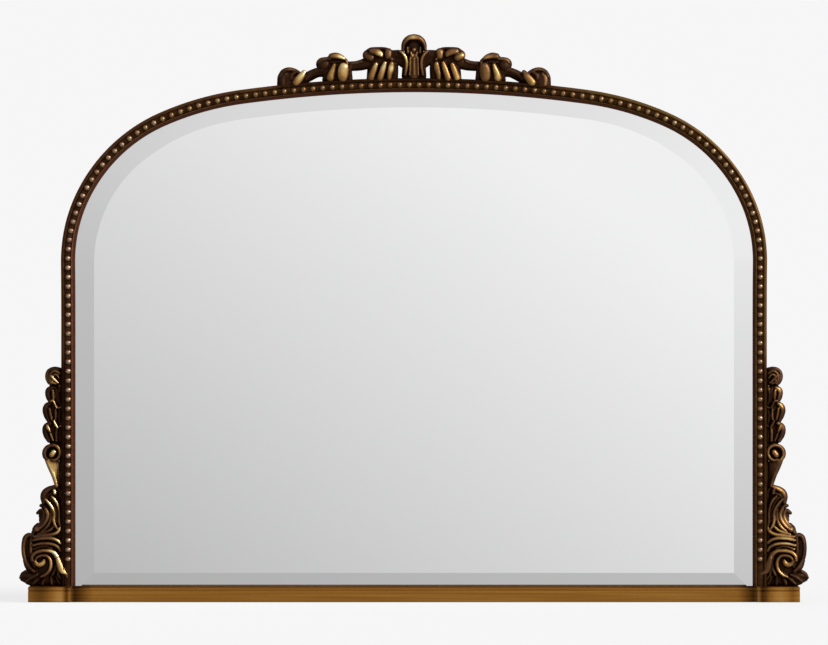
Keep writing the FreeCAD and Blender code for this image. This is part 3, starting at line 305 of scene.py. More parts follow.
def swept(points, normals, profile, side):
    """The profile's (outward, forward) pairs carried along a line of points: a closed tube with flat ends.

    Each point of the surface is the line's point plus the outward share along its normal, and the forward
    share is measured from the back plane to the front. Side 1 is the right half, -1 its mirror image."""
    reach = profile[None, :, 0, None] + swell(points[:, None, 1:])
    across = points[:, None, :] + normals[:, None, :] * reach
    verts = np.empty((len(points), len(profile), 3))
    verts[..., 0] = side * across[..., 0]
    verts[..., 1] = BACK_Y - profile[None, :, 1]
    verts[..., 2] = across[..., 1]
    return tube(verts, MIRRORED if side > 0 else FORWARD)


# frame moulding
def moulding_profile():
    """(outward, forward, gilt) of the moulding: outer band, bead channel, lip, slope and sight edge."""
    turn = np.radians(np.linspace(0, 90, 7))
    outer = np.stack([17 + 3.5 * np.cos(turn), 23.5 + 3.5 * np.sin(turn), 0.1 + 0.12 * np.sin(2 * turn)], 1)
    fall = np.linspace(0, 1, 7)
    slope = np.stack([4.0 - 3.3 * fall, 26.8 - 10.2 * fall, np.full(7, 0.05)], 1)
    rows = [[(4.5, 0, 0), (20.5, 0, 0), (20.5, 12, 0)], outer,
            [(16.3, 27, 0.15), (15.9, 26.85, 0.2), (15.8, 26.5, 0.1), (15.8, 24, 0), (6, 24, 0.15),
             (6, 26.5, 0.35), (5.85, 26.88, 0.5), (5.5, 27, 0.5), (4.45, 27, 0.45), (4.2, 26.95, 0.3)],
            slope, [(0.7, 15, 0.1), (4.5, 15, 0)]]
    return np.concatenate([np.array(row, float) for row in rows])


# gilding of the moulding, with painted light and shade in it: where the outer band ends and the slope
# begins, and levels at heights or reaches
PROFILE = moulding_profile()
OUTER_BAND = 15.5
SLOPE = 4.05
# painted shade on the outer band beside the brackets and under the crest, gone above these heights and past
# these reaches
ABOVE_BRACKET = ([326, 352], [0, 1])
PAST_CREST = ([185, 205], [0, 1])
LIP_GAIN = ([22, 430, 500, 640, 740], [1.0, 1.25, 1.3, 0.75, 0.5])
# painted shade: the lip of the right half, and of the crown swept as one, is darker, as if turned from the
# light on the right
SHADED_RIGHT_LIP = 0.65
# painted light and shade on the outer band of the right half and the crown, by height: lifted as if it faced
# the light on the right, lowered near 604 mm
RIGHT_BAND_LIGHT_AND_SHADE = ([482, 555, 604, 645, 673], [0.5, 0.4, -0.5, 0.3, 1.0])
# painted shade on the slope, deeper below these heights
SLOPE_SHADE = ([430, 520], [0.2, 0.1])


def add_moulding(name, points, normals, side, olive):
    """A length of the frame moulding in place of its node.

    The outer band has painted shade beside the brackets and under the crest, where they would shadow it,
    and on the right half and the crown a painted lift of light, set by height; the lip is brightest at the
    spring line and darker on the right half and the crown by painted shade, and the slope has painted shade,
    deepest low on the stile."""
    verts, faces = swept(points, normals, PROFILE, side)
    reach, height = np.abs(points[:, :1]), points[:, 1:]
    clear_of_painted_shade = np.interp(height, *ABOVE_BRACKET) * np.interp(reach, *PAST_CREST)
    lip = np.interp(height, *LIP_GAIN) * (1.0 if side < 0 else SHADED_RIGHT_LIP)
    place, gilt = PROFILE[:, 0], PROFILE[:, 2]
    outer = gilt + 0.02 + 0.2 * olive * np.interp(height, *RIGHT_BAND_LIGHT_AND_SHADE) - 0.42 * (1 - clear_of_painted_shade)
    inner = np.where(place < SLOPE, gilt - np.interp(height, *SLOPE_SHADE), gilt * lip)
    gilt = np.where(place > OUTER_BAND, outer, inner).reshape(-1)
    make_piece(name + "_moulding", verts, faces, BAND, "gilt_wood", name, 38,
               {"gilt": gilt, "olive": np.full(len(gilt), olive)})


haunch_run = joined(arch_run(0), arch_run(1))
for side, hand in SIDES:
    add_moulding(hand + "_stile", *stile_line(), side, max(side, 0.0))
    add_moulding(hand + "_haunch", *haunch_run, side, max(side, 0.0))
crown_run = [np.concatenate([half, half[-2::-1] * [-1, 1]]) for half in arch_run(2, 0.4)]
add_moulding("crown", *crown_run, 1, 0.4)

# beads: places out from the sight edge and forward from the back plane, and their level at heights, by side:
# lower on the crown and at the foot of the right run
BEAD_LINE = 10.6
BEAD_RADIUS = 4.8
BEAD_FORWARD = 26.1
LOWEST_BEAD = 60.7
BEAD_COUNT = 78
BEAD_SEGMENTS = 12
PACE = [(0, 0.4129, 0.5806, 1), (0, 0.4098, 0.5731, 1)]
STRIP = [(6.2, 24), (15.5, 24), (15.5, 25.1), (15.0, 25.6), (6.7, 25.6), (6.2, 25.1)]
STRIP_GILT = 0.02
BEAD_LEVEL = {-1: ([60, 480, 690, 745], [0.88, 0.9, 0.86, 0.7]),
             1: ([60, 420, 690, 745], [0.76, 0.86, 0.86, 0.7])}
BEAD_OLIVE = {-1: 0.0, 1: 0.6}


def bead_places():
    """Centres of the right run's beads along the stile and the three arcs, by arc length.

    The beads stand a little closer on the lower haunch and wider on the crown, as the pace gives it."""
    spans = np.array([(TURNS[part + 1] - TURNS[part]) * (RADII[part] + BEAD_LINE) for part in range(3)])
    rise = SPRING - LOWEST_BEAD
    travel = (rise + spans.sum()) * np.interp(np.arange(BEAD_COUNT) / (BEAD_COUNT - 0.5), *PACE)
    starts = rise + np.concatenate([[0], np.cumsum(spans)[:2]])
    part = np.searchsorted(starts, travel, side="right") - 1
    arc = np.maximum(part, 0)
    reach = np.array(RADII)[arc] + BEAD_LINE
    angle = TURNS[arc] + (travel - starts[arc]) / reach
    straight = part < 0
    angle[straight] = 0
    normal = np.stack([np.cos(angle), np.sin(angle)], 1)
    spots = np.array(CENTRES)[arc] + reach[:, None] * normal
    spots[straight, 0] = SIGHT_HALF + BEAD_LINE
    spots[straight, 1] = LOWEST_BEAD + travel[straight]
    return spots + normal * swell(spots[:, 1:])


def bead_dome():
    """A bead of unit radius: a dome that faces forward, with a pole, four rings and a closing disc."""
    tilt = np.radians([24, 46, 68, 90])[:, None]
    here = np.arange(BEAD_SEGMENTS)
    turn = 2 * np.pi * here / BEAD_SEGMENTS
    ring = np.stack([np.sin(tilt) * np.cos(turn), np.tile(-np.cos(tilt), (1, BEAD_SEGMENTS)),
                     np.sin(tilt) * np.sin(turn)], -1).reshape(-1, 3)
    caps = np.stack([0 * here, 1 + here, 1 + (here + 1) % BEAD_SEGMENTS], 1)
    quads = 1 + grid_quads(len(tilt), BEAD_SEGMENTS)[:, TURNED]
    disc = len(ring) - here[None]
    return np.concatenate([[(0, -1, 0)], ring]), (caps, quads, disc)


def add_beads(side, hand):
    """The beaded strip of one half, with its beads, in place of its node."""
    run = joined(stile_line(), *(arch_run(part) for part in range(3)))
    verts, faces = swept(*run, np.array(STRIP), side)
    dome, dome_faces = bead_dome()
    spots = bead_places()
    centre = np.stack([side * spots[:, 0], np.full(len(spots), BACK_Y - BEAD_FORWARD), spots[:, 1]], 1)
    beads = (centre[:, None, :] + dome[None] * BEAD_RADIUS).reshape(-1, 3)
    shift = (len(verts) + len(dome) * np.arange(len(spots)))[:, None, None]
    for kind in dome_faces:
        faces = faces + (kind[None] + shift).reshape(-1, kind.shape[1]).tolist()
    front = np.clip(-dome[:, 1], 0, 1) ** 2
    shine = (0.25 + 0.46 * front[None]) * np.interp(spots[:, 1], *BEAD_LEVEL[side])[:, None]
    gilt = np.concatenate([np.full(len(verts), STRIP_GILT), shine.reshape(-1)])
    verts = np.concatenate([verts, beads])
    olive = np.interp(verts[:, 2], [560, 700], [BEAD_OLIVE[side], 1.0])
    make_piece(hand + "_bead_run", verts, faces, BEAD, "gilt_bead", hand + "_bead_moulding", 50,
               {"gilt": gilt, "olive": olive})


for side, hand in SIDES:
    add_beads(side, hand)


# base
def rounded_step():
    """(back from the front face, height) of the base's front from its foot up: fascia, quirk and band."""
    turn = np.radians(np.linspace(0, 90, 6))
    top = np.stack([1.5 - 1.5 * np.cos(turn), 20.5 + 1.5 * np.sin(turn)], 1)
    foot = [(0.6, 0), (0.15, 0.2), (0, 0.7), (0, 3), (0, 13), (0, 15), (0.1, 15.4), (0.3, 15.6), (0.35, 16),
            (0.35, 16.4), (0.3, 16.8), (0.1, 17), (0, 17.4)]
    return np.concatenate([np.array(foot), top])


# gilding levels up the step, with painted shade at the foot, in the quirk and along the top edge, then (y,
# z) of the rail's top, groove and back, with their levels, and painted shade in the groove and on the top's
# front edge
STEP = rounded_step()
RAIL_LEVEL = [0.4, 0.5, 0.56, 0.56, 0.56, 0.56, 0.55, 0.53, 0.52, 0.52, 0.53, 0.55, 0.56, 0.5, 0.3, 0.16,
              0.08, 0.05, 0.05]
BLOCK_LEVEL = [0.4, 0.48, 0.5, 0.5, 0.5, 0.46, 0.4, 0.32, 0.28, 0.28, 0.34, 0.44, 0.46, 0.42, 0.32, 0.22,
               0.12, 0.06, 0.05]
RAIL_FRONT = -44.0
RAIL_BACK = [(-41.5, 22), (-25.3, 22), (-25.3, 8), (-12.6, 8), (-12.6, 22), (0, 22), (0, 0)]
RAIL_BACK_LEVEL = [0.08, 0.36, 0.1, 0.1, 0.3, 0.3, 0.2]
# painted shade on the rail towards its ends, beside the blocks
RAIL_END_SHADE = ([459, 467, 473, 478, 484, 486], [0.03, -0.09, -0.2, -0.34, -0.42, -0.2])

# the right block's inner and outer faces, its front, the radius of its inner return, its bow, and the
# painted light and shade along each block's front
BLOCK_IN = 486.0
BLOCK_OUT = 548.5
BLOCK_FRONT = -49.0
RETURN = 8.0
BOW = 4.0
FALL_BACK = 2.0
# painted light and shade, with painted reflection, across each block's front at these places: lighter where
# a face would catch the light, darker where it turns away; the right block's inner return is lit
SHADE_PLACES = [486, 486.4, 487, 490, 494, 496.5, 500, 506, 514, 522, 530, 538, 548.5]
BLOCK_LIGHT_AND_SHADE = {-1: [0.4, 0.3, -0.06, -0.12, -0.28, -0.06, 0.22, 0.22, 0.12, -0.03, -0.12, -0.06, 0.12],
               1: [0.28, 0.28, 0.3, 0.32, -0.3, -0.3, -0.2, 0.05, 0.18, 0.2, 0.12, -0.07, 0.12]}


def add_base_rail():
    """The base rail: its front section, its top and the glass groove drawn along X."""
    section = np.concatenate([np.stack([RAIL_FRONT + STEP[:, 0], STEP[:, 1]], 1), RAIL_BACK])
    half = np.concatenate([np.linspace(0, 456, 30), np.linspace(462, BLOCK_IN, 9)])
    spots = np.concatenate([-half[:0:-1], half])
    # painted shade beside the blocks, a little deeper at the left end
    end_shade = np.interp(np.abs(spots), *RAIL_END_SHADE) - 0.05 * (spots < -461)
    level = np.array(RAIL_LEVEL + RAIL_BACK_LEVEL) + end_shade[:, None]
    verts = np.empty((len(spots), len(section), 3))
    verts[..., 0] = spots[:, None]
    verts[..., 1:] = section[None]
    make_piece("base_rail_gilt", *tube(verts, TURNED), BASE, "gilt_base", "base_rail", 35,
               {"gilt": np.clip(level, 0, 1).reshape(-1)})


add_base_rail()


def unit(rows):
    """Rows of vectors at unit length."""
    return rows / np.linalg.norm(rows, axis=-1)[..., None]


def add_plinth(side, hand):
    """A plinth block: the front section carried round the bowed plan with its rounded inner return."""
    bend = np.radians(np.linspace(180, 90, 9))
    start = BLOCK_IN + RETURN
    inner = np.stack([start + RETURN * np.cos(bend), BLOCK_FRONT + RETURN - RETURN * np.sin(bend)], 1)
    across = np.linspace(start, BLOCK_OUT, 24)[1:]
    share = (across - start) / (BLOCK_OUT - start)
    front = np.stack([across, BLOCK_FRONT - BOW * share * (1 - share) + FALL_BACK * share ** 2], 1)
    plan = np.concatenate([[(BLOCK_IN, 0)], inner, front, [(BLOCK_OUT, 0)]])
    ahead = np.roll(plan, -1, 0) - plan
    behind = plan - np.roll(plan, 1, 0)
    ahead[-1] = behind[-1]
    behind[0] = ahead[0]
    tangent = unit(unit(ahead) + unit(behind))
    inward = np.stack([-tangent[:, 1], tangent[:, 0]], 1)
    inward[0] = (0, 0)
    inward[-1] = (-1, 0)
    inward[-2] = (-1, 1)
    inward[1:10] = inward[1:10] * np.linspace(0, 1, 9)[:, None]
    spread = plan[:, None, :] + inward[:, None, :] * STEP[None, :, 0, None]
    verts = np.empty((len(plan), len(STEP), 3))
    verts[..., 0] = side * spread[..., 0]
    verts[..., 1] = spread[..., 1]
    verts[..., 2] = STEP[None, :, 1]
    width = len(STEP)
    quads = grid_quads(len(plan), width, False)[:, TURNED]
    rows = np.arange(len(plan)) * width
    rear = np.concatenate([np.arange(width)[::-1] + rows[-1], np.arange(width)])
    lids = [rows[::-1], rows + width - 1, rear]
    if side < 0:
        quads = quads[:, ::-1]
        lids = [lid[::-1] for lid in lids]
    # painted light and shade across the front, added to the step's levels
    shade = np.interp(plan[:, 0], SHADE_PLACES, BLOCK_LIGHT_AND_SHADE[side])
    level = np.clip(np.array(BLOCK_LEVEL)[None] + shade[:, None], 0, 1)
    make_piece(hand + "_plinth_gilt", verts.reshape(-1, 3), quads.tolist() + [lid.tolist() for lid in lids],
               BASE, "gilt_base", hand + "_plinth_block", 35, {"gilt": level.reshape(-1)})


for side, hand in SIDES:
    add_plinth(side, hand)

# glass: (offset out from the sight edge, foot, rise of the arch) of its rim and field, and the rings' depths
RIM = (3.2, 11.8, 0.0)
FIELD = (-26.0, 41.0, 5.0)
GLASS_BACK = -20.053
GLASS_EDGE = -22.488
GLASS_FRONT = -23.753


def glass_outline(offset, foot, rise):
    """The closed outline at an offset out from the sight edge: foot, right side, arch and left side.

    The arch is raised by the rise, which grows from nothing on the haunch to its full on the shoulder."""
    right, way = joined(*(arch_run(part) for part in range(3)))
    grow = np.clip((np.degrees(np.arctan2(way[:, 1], way[:, 0])) - 56) / 20, 0, 1)
    right = right + way * offset + np.stack([0 * grow, rise * grow ** 2 * (3 - 2 * grow)], 1)
    bottom = np.linspace(-1, 1, 41)[:, None] * [SIGHT_HALF + offset, 0] + [0, foot]
    side_up = np.stack([np.full(24, SIGHT_HALF + offset), np.linspace(foot, SPRING, 25)[1:]], 1)
    return np.concatenate([bottom, side_up, right[1:], right[-2::-1] * [-1, 1], side_up[-2::-1] * [-1, 1]])


def add_glass():
    """The mirror plate: flat back, thin edge, wide bevel and raised flat field, as rings of one outline."""
    rim = glass_outline(*RIM)
    rings = [(rim, GLASS_BACK), (rim, GLASS_EDGE), (glass_outline(*FIELD), GLASS_FRONT)]
    verts = [np.stack([ring[:, 0], np.full(len(ring), y), ring[:, 1]], 1) for ring, y in rings]
    here = np.arange(len(rim))
    faces = grid_quads(len(rings), len(rim)).tolist() + [here[::-1].tolist(), (2 * len(rim) + here).tolist()]
    make_piece("mirror_plate", np.concatenate(verts), faces, SILVER, "mirror", "mirror_glass", 2, {})


add_glass()

# carved strands: places and radii in squares, front height in millimetres, gilding in percent on the left
# and, where it differs, on the right; a bracket's places are out from the stile and up from the block, the
# crest's out from the middle and up from the crown. The gilding holds painted light and shade: parts that
# face the light from the right are higher and their mirrored parts lower, and the brightest strands are
# painted highlights
SQUARE = 1.4222
# the neck panel's gilding on the left, then on the right at its edge and inside it: the right is lower by
# painted shade, as that panel turns from the light
NECK = [75, 92, 92, 90, 80, 50]
NECK_EDGE = [51, 29, 26, 24, 19, 13]
NECK_INSIDE = [26, 29, 26, 24, 19, 13]
SIDE_STRANDS = [
    ([(4.1, 213.5), (5.6, 206.5), (5.1, 194.5), (5.6, 184.5)], [4.5, 7, 6, 5.5], 11, 3),
    ([(5.6, 184.5), (7.1, 174.5), (6.1, 165.5), (7.1, 154.5), (5.6, 144.5)], [6, 8, 6.5, 8, 6.5], 11, 3),
    ([(8.1, 133.5)], 9.6, 11, 3),
    ([(9.2, 126.5), (6.1, 116.5), (3.6, 106.5), (3.1, 98.5)], [6, 5.5, 4, 4], 11, 3),
    ([(7.1, 95.5), (9.2, 87.5), (9.2, 78.5)], [6, 9, 9], 12.5, 3),
    ([(9.2, 78.5), (11.2, 68.5), (11.2, 59.5), (14.2, 50.5)], [9, 10, 10, 11], 13, 3),
    ([(14.2, 50.5), (16.2, 38.5), (17.3, 26.5), (15.2, 14.5), (13.2, 5.5)], [12, 14, 15, 12, 6], 14, 3),
    ([(32.4, 46.5), (33.4, 40.5), (32.4, 30.5), (28.4, 20.5), (25.4, 11.5)], [4.4, 5, 5.5, 6, 7], 12, 3),
    ([(-5, 4), (5.1, 3.9), (17.3, 3.9), (27.4, 4.3)], [4.2, 4.4, 4.4, 4.4], 12, 3),
    ([(-1.4, 213.5), (-1.4, 146.5), (-1.4, 86.5), (-1.4, 7.5)], 3.6, 14, 2),
    ([(1.1, 66.5), (0.7, 36.5), (0.1, 7.5)], [3, 3.4, 4], 15, 2),
    ([(27.4, 53.5), (28.4, 45.5)], 3, 12, 2),
    ([(7.5, 210.3)], 8, 15, 16, 14),
    ([(4.1, 213.5), (1.1, 209.5), (1.1, 203.5)], 3, 15.5, 3, 9),
    ([(12.4, 203.7), (14.4, 207.7), (14.6, 211.7), (13, 215.5), (9.8, 217.6), (5.9, 218.2), (1.7, 217.3)],
     1.7, 17.5, [40, 50, 42, 30, 24, 20, 10], [26, 34, 34, 30, 26, 21, 9]),
    ([(10, 203.1), (11.6, 206.9), (11.8, 210.5), (10, 213.7), (7.1, 215.3), (4.1, 214.9), (1.3, 212.9)],
     1.5, 19, [40, 40, 30, 24, 34, 50, 25], [30, 30, 30, 30, 30, 26, 17]),
    ([(8.6, 205.9), (9, 209.1), (7.7, 211.3), (5.9, 212.1), (3.7, 210.9), (1.9, 208.3)], 1.3, 20, [35, 30,
     26, 30, 36, 20], [26, 34, 42, 34, 26, 17]),
    ([(9.8, 210.3), (6.7, 206.9), (3.1, 203.5)], [1.2, 1.6, 1.2], 21, [80, 100, 65], 19),
    ([(11.4, 206.1), (8.3, 203.9), (5.5, 202.7)], 1.1, 20, [45, 70, 45], 17),
    ([(9.8, 199.5), (5.7, 198.5)], 2.4, 14, 14, 9),
    ([(1.6, 200.5)], 1.6, 17, 40, 51),
    ([(9.2, 199), (12.6, 196.9), (13.8, 193.5), (12.7, 188.5), (10.6, 184.5)], [2.1, 2.7, 2.7, 2.6, 1.9],
     16, [8, 14, 10, 8, 6], [26, 68, 34, 17, 9]),
    ([(8.6, 196), (8.1, 191.5), (7.8, 187.1)], [1.5, 1.8, 1.5], 18, 34, [51, 26, 17]),
    ([(10.4, 185.5), (7.9, 185.7)], 1.2, 20, [45, 70], 26),
    ([(7.9, 185.7), (6.3, 182.5), (4.5, 178.7)], [1.3, 1.2, 1.2], 20.5, [75, 66, 68], 17),
    ([(2.5, 178.6), (-0.6, 179.3)], 1.1, 19, 42, 17),
    ([(1.3, 198), (2.9, 193.5), (2.5, 187), (0.7, 182)], 2.4, 15, 6, [42, 26, 14, 9]),
    ([(4.9, 196.5), (5.1, 190.5), (4.1, 184.5)], 1.6, 15.5, 6, 9),
    ([(11, 183.5), (14.8, 180.7), (16.3, 176.5), (15.2, 171.1), (12.8, 165.5)], [2, 2.7, 2.8, 2.7, 1.9], 16,
     [12, 26, 14, 8, 6], [26, 64, 30, 10, 9]),
    ([(11.8, 178), (11, 172.5), (9.6, 166.9)], [1.3, 1.6, 1.3], 17.5, 24, [42, 17, 13]),
    ([(5.7, 176.9), (5.5, 171.9), (5.9, 167.1)], [1.2, 1.5, 1.2], 17.5, 24, 32),
    ([(7.3, 165.7), (5.7, 162.3), (3.7, 158.9)], [1.25, 1.45, 1.3], 20.5, [70, 90, 85], 17),
    ([(1.5, 160.1), (-0.6, 160.7)], 1.1, 19, 48, 17),
    ([(0.5, 177), (2.1, 172.5), (1.9, 167), (0.5, 162)], 2.3, 15, 6, [17, 17, 12, 9]),
    ([(11.2, 163.1), (15.2, 160.5), (16.5, 156.5), (15.4, 151.1), (12.6, 145.5)], [2, 2.7, 2.8, 2.7, 1.9],
     16.5, 8, [26, 59, 26, 9, 9]),
    ([(14.4, 161.1), (13, 158.3), (11.5, 155.1)], [1.2, 1.9, 1.2], 20, [60, 92, 50], [51, 34, 17]),
    ([(11.4, 154.1), (10, 150.1), (8.1, 145.7)], [1.2, 1.5, 1.2], 17.5, 30, 14),
    ([(4.5, 157.9), (4.9, 152.5), (4.7, 145.5)], 1.7, 17, 12, [34, 34, 17]),
    ([(0.3, 157.5), (1.1, 152), (0.5, 145.5)], 2.1, 14.5, 5, 9),
    ([(14.4, 126.9), (16.8, 130.1), (17, 134.9), (14.7, 138.8), (11.2, 140.7), (7.1, 141.1), (3.4, 139.3),
     (1.3, 136), (1.3, 131.8), (3.3, 128.1), (6.7, 126.3), (10.2, 126.7)], [1.6, 2, 2.1, 2, 1.9, 1.9, 1.95,
     1.95, 1.9, 1.8, 1.6, 1.3], 20.5, [14, 18, 24, 22, 16, 22, 48, 50, 34, 30, 26, 14], [51, 42, 29, 26, 29,
     34, 38, 38, 38, 38, 34, 26]),
    ([(9.2, 132.9)], 5.4, 15, 5),
    ([(9.6, 131.5), (7.5, 134.3)], [3, 2.9], 20.5, [60, 100], [42, 51]),
    ([(14.8, 126.9), (13, 122.1), (10.8, 116.9), (8.3, 111.5), (6.1, 105.5), (4.5, 100.5)], 2, 20, NECK,
     NECK_EDGE),
    ([(12.6, 126.2), (11.2, 121.6), (9.4, 116.4), (7.3, 111.1), (5.6, 105.3), (4.3, 100.5)], 2, 18.9, NECK,
     NECK_EDGE),
    ([(10.5, 125.5), (9.3, 121.1), (7.9, 115.9), (6.4, 110.7), (5, 105.1), (4, 100.5)], 2, 17.8, NECK,
     NECK_INSIDE),
    ([(8.2, 124.9), (7.4, 120.5), (6.4, 115.5), (5.4, 110.3), (4.5, 104.9), (3.8, 100.5)], 2, 16.7, NECK,
     NECK_INSIDE),
    ([(6.1, 124.2), (5.5, 120), (5, 115), (4.5, 109.9), (3.9, 104.7), (3.5, 100.5)], 2, 15.6, NECK,
     NECK_INSIDE),
    ([(3.9, 123.5), (3.7, 119.5), (3.6, 114.5), (3.5, 109.5), (3.4, 104.5), (3.3, 100.5)], 2, 14.5, NECK,
     NECK_INSIDE),
    ([(-0.6, 123.5), (-0.8, 112.5), (-0.6, 100.5)], 2.4, 14.5, 3),
    ([(6.1, 99.7), (12.4, 97.5), (16.8, 94.1), (18.4, 89.5), (17.9, 84.1)], [1.7, 2.6, 2.9, 2.8, 2.1], 18.5,
     [10, 18, 20, 14, 8], [42, 64, 42, 17, 9]),
    ([(8.8, 92.9), (12.8, 91.5), (15.2, 88.1)], [1.6, 2, 1.7], 16.5, 5),
    ([(6.9, 95.9), (6.3, 93.3)], [1.8, 1.9], 21.5, 100, 13),
    ([(3.5, 98), (1.1, 95.5), (0.3, 89.5)], 2.2, 16, 5),
    ([(15.6, 87.1), (12.6, 83.7), (9.8, 79.9), (7.7, 75.9), (6.9, 71.5), (7.3, 66.9), (6.5, 62.1), (3.5,
     57.1)], [1.2, 1.7, 1.7, 1.6, 1.6, 1.8, 1.7, 1.4], 20.5, [70, 100, 90, 56, 40, 65, 50, 20], [26, 29, 26,
     26, 29, 51, 51, 42]),
    ([(9.6, 89.9), (6.5, 86.9), (4.1, 82.7), (2.5, 77.5), (1.9, 71.5), (1.9, 64.9), (0.7, 59.5)], [1.1, 1.6,
     1.6, 1.5, 1.5, 1.6, 1.4], 20, [50, 85, 75, 40, 20, 38, 25], [26, 29, 24, 17, 14, 17, 17]),
    ([(11.6, 88.3), (8.1, 83.7), (5.5, 77.9), (4.5, 71.5), (4.1, 64.5)], 1.3, 17.5, 10, 12),
    ([(-0.4, 88.5), (-0.8, 78.5), (-1, 67.5)], 1.8, 15, 4),
    ([(14.7, 77.9), (18.5, 80.5), (20.7, 80.7)], [2.3, 2.3, 1.6], 16, 6, 12),
    ([(16.2, 74.9), (20.5, 75.5), (23.9, 73.3)], [2.3, 2.3, 1.7], 15.5, 5, 9),
    ([(17.5, 69), (20.1, 68.1), (21.1, 65.9)], [2.4, 2.2, 1.6], 15, 6, 17),
    ([(16, 77.7), (14.2, 74.5), (13.6, 70.5), (15.2, 65.5), (18.9, 60.5), (23.3, 56.9)], [1.5, 2.2, 2.1, 2,
     1.9, 1.6], 18.5, [28, 52, 45, 32, 24, 26], [17, 34, 51, 68, 59, 42]),
    ([(19.5, 77.1), (17.7, 72.9), (17.9, 68.5), (20.5, 63.7), (24.1, 59.9)], [1.2, 1.6, 1.7, 1.7, 1.4], 17,
     16, [17, 42, 68, 59, 42]),
    ([(10.6, 76.5), (10, 70.1), (11.6, 64.1), (15, 58.9), (19.7, 54.9)], [1.2, 1.6, 1.7, 1.7, 1.4], 18, [16,
     30, 32, 22, 16], [17, 34, 51, 68, 59]),
    ([(23.7, 61.5), (26.6, 57.9), (27.8, 53.7)], [2, 2.4, 1.9], 16, 12, 17),
    ([(24.5, 57.1)], 3.1, 18.5, 42, 42),
    ([(7.5, 59.9), (11.2, 56.3), (16.8, 53.9), (23.3, 52.3)], [1.4, 1.7, 1.7, 1.4], 18, 20, [42, 59, 72,
     59]),
    ([(0.9, 58.1), (2.7, 54.9), (7.5, 52.3), (14.6, 51.1), (21.3, 50.1), (27.4, 49.5)], [1.7, 2, 1.9, 1.8,
     1.8, 1.6], 20.5, [100, 65, 36, 28, 22, 16], [47, 51, 59, 68, 59, 34]),
    ([(0.5, 43.3), (3.7, 45.9), (9, 47.9), (15.2, 48.1), (21.9, 47.5), (27.8, 46.1)], [1.7, 1.9, 1.9, 1.8,
     1.7, 1.6], 21, [100, 75, 46, 34, 26, 18], [30, 42, 51, 64, 77, 51]),
    ([(0.5, 35.5), (3.1, 39.1), (7.7, 41.7), (14.8, 42.9), (21.9, 42.5), (28, 40.9)], [1.5, 1.8, 1.9, 1.8,
     1.7, 1.6], 20, [30, 46, 34, 28, 24, 18], [26, 34, 42, 64, 81, 59]),
    ([(9.2, 38.1), (15.6, 39.7), (21.9, 39.1), (27.4, 37.1)], [1.2, 1.5, 1.5, 1.4], 18, 12, [17, 26, 42,
     59]),
    ([(29.2, 25.9), (28.8, 29.9), (25.6, 33.5), (20.5, 35.3), (15.2, 35.7), (10.8, 35.3), (7.1, 33.5), (4.1,
     29.9), (2.5, 25.9)], [1.6, 1.9, 2, 2, 1.9, 2, 2.4, 2.5, 2.3], 23.5, [16, 20, 26, 32, 42, 80, 92, 92,
     92], [42, 59, 64, 59, 51, 42, 34, 34, 38]),
    ([(25.8, 26.9), (23.5, 29.5), (19.3, 30.9), (14.8, 30.5), (11.6, 27.9), (10.2, 23.7), (10.6, 18.9),
     (12.8, 14.5), (16.4, 11.3), (20.3, 9.5)], [1.4, 1.8, 1.9, 1.9, 1.9, 2, 2, 1.9, 1.8, 1.5], 21.5, [18,
     20, 22, 32, 56, 66, 60, 30, 16, 8], [42, 42, 38, 34, 34, 38, 51, 72, 77, 51]),
    ([(26.4, 24.9), (23.9, 22.1), (20.9, 21.7), (18.1, 23.7), (17.3, 26.1)], [1.8, 2.5, 2.9, 2.6, 1.7], 22,
     [30, 50, 60, 70, 45], [34, 42, 51, 51, 34]),
    ([(6.5, 28.5), (5.3, 23.5), (6.1, 17.5), (8.8, 11.5)], [1.6, 1.9, 2, 1.7], 18.5, 8, [26, 26, 34, 26]),
    ([(3.3, 27.9), (1.3, 22.5), (-0.6, 18.1), (-2.4, 14.9), (-5.2, 12.5)], [2.4, 3.6, 4.3, 3.6, 1.4], 25,
     [75, 80, 80, 80, 50], [26, 26, 26, 34, 26]),
    ([(-5.4, 12.3), (-8.2, 13.7), (-11.1, 15.1)], [1.1, 1.3, 1.1], 25, [50, 45, 35], [34, 26, 17]),
    ([(-5.4, 10.7), (-8, 8.1), (-10.1, 4.5)], [1.1, 1.2, 1], 24.5, 26, 9),
    ([(3.3, 16.5), (2.5, 10.9), (-1, 6.7)], [1.7, 2.1, 1.9], 19.5, [14, 10, 7], 9),
    ([(29.4, 50.9), (33.2, 51.2), (36.2, 48.9), (37.7, 44.1), (38.2, 37.5), (37.5, 30.5), (35.3, 24.5), (32,
     19.1), (27.4, 14.7)], [1.8, 2.2, 2.3, 2.1, 2, 2, 2.1, 2.1, 1.8], 17.5, [12, 18, 20, 26, 42, 40, 26, 14,
     8], [9, 12, 12, 10, 10, 10, 10, 9, 5]),
    ([(30.2, 48.7), (30.5, 41.5), (30.4, 34.5), (29.6, 26.9), (27, 19.5)], [1.5, 1.9, 2, 1.9, 1.6], 17, [18,
     32, 34, 24, 10], [9, 12, 14, 14, 9]),
    ([(34.3, 45.5), (34.7, 37.5), (33.6, 29.5)], [1.9, 2.3, 2], 14, 3),
    ([(27.4, 9), (33.4, 10.5), (38.3, 10.1), (41.2, 8.5)], [3.8, 3.6, 2.6, 1.3], 15, 3),
    ([(28.4, 6.5), (33.9, 6.3), (38.9, 7.3)], [5, 3.8, 2.6], 13.5, 3),
    ([(30.4, 3.3), (34.1, 4.1)], [3, 2.4], 13, 3),
    ([(36.9, 25.5), (34.7, 20.1), (32, 15.9)], [1.8, 2.4, 2], 13.5, 3),
    ([(20.7, 72.9), (20.5, 69.9)], [2.2, 2.4], 14, 4),
    ([(35.1, 14.9), (38.7, 12.7), (40.7, 9.9)], [1.8, 1.7, 1.3], 16, 6, 10),
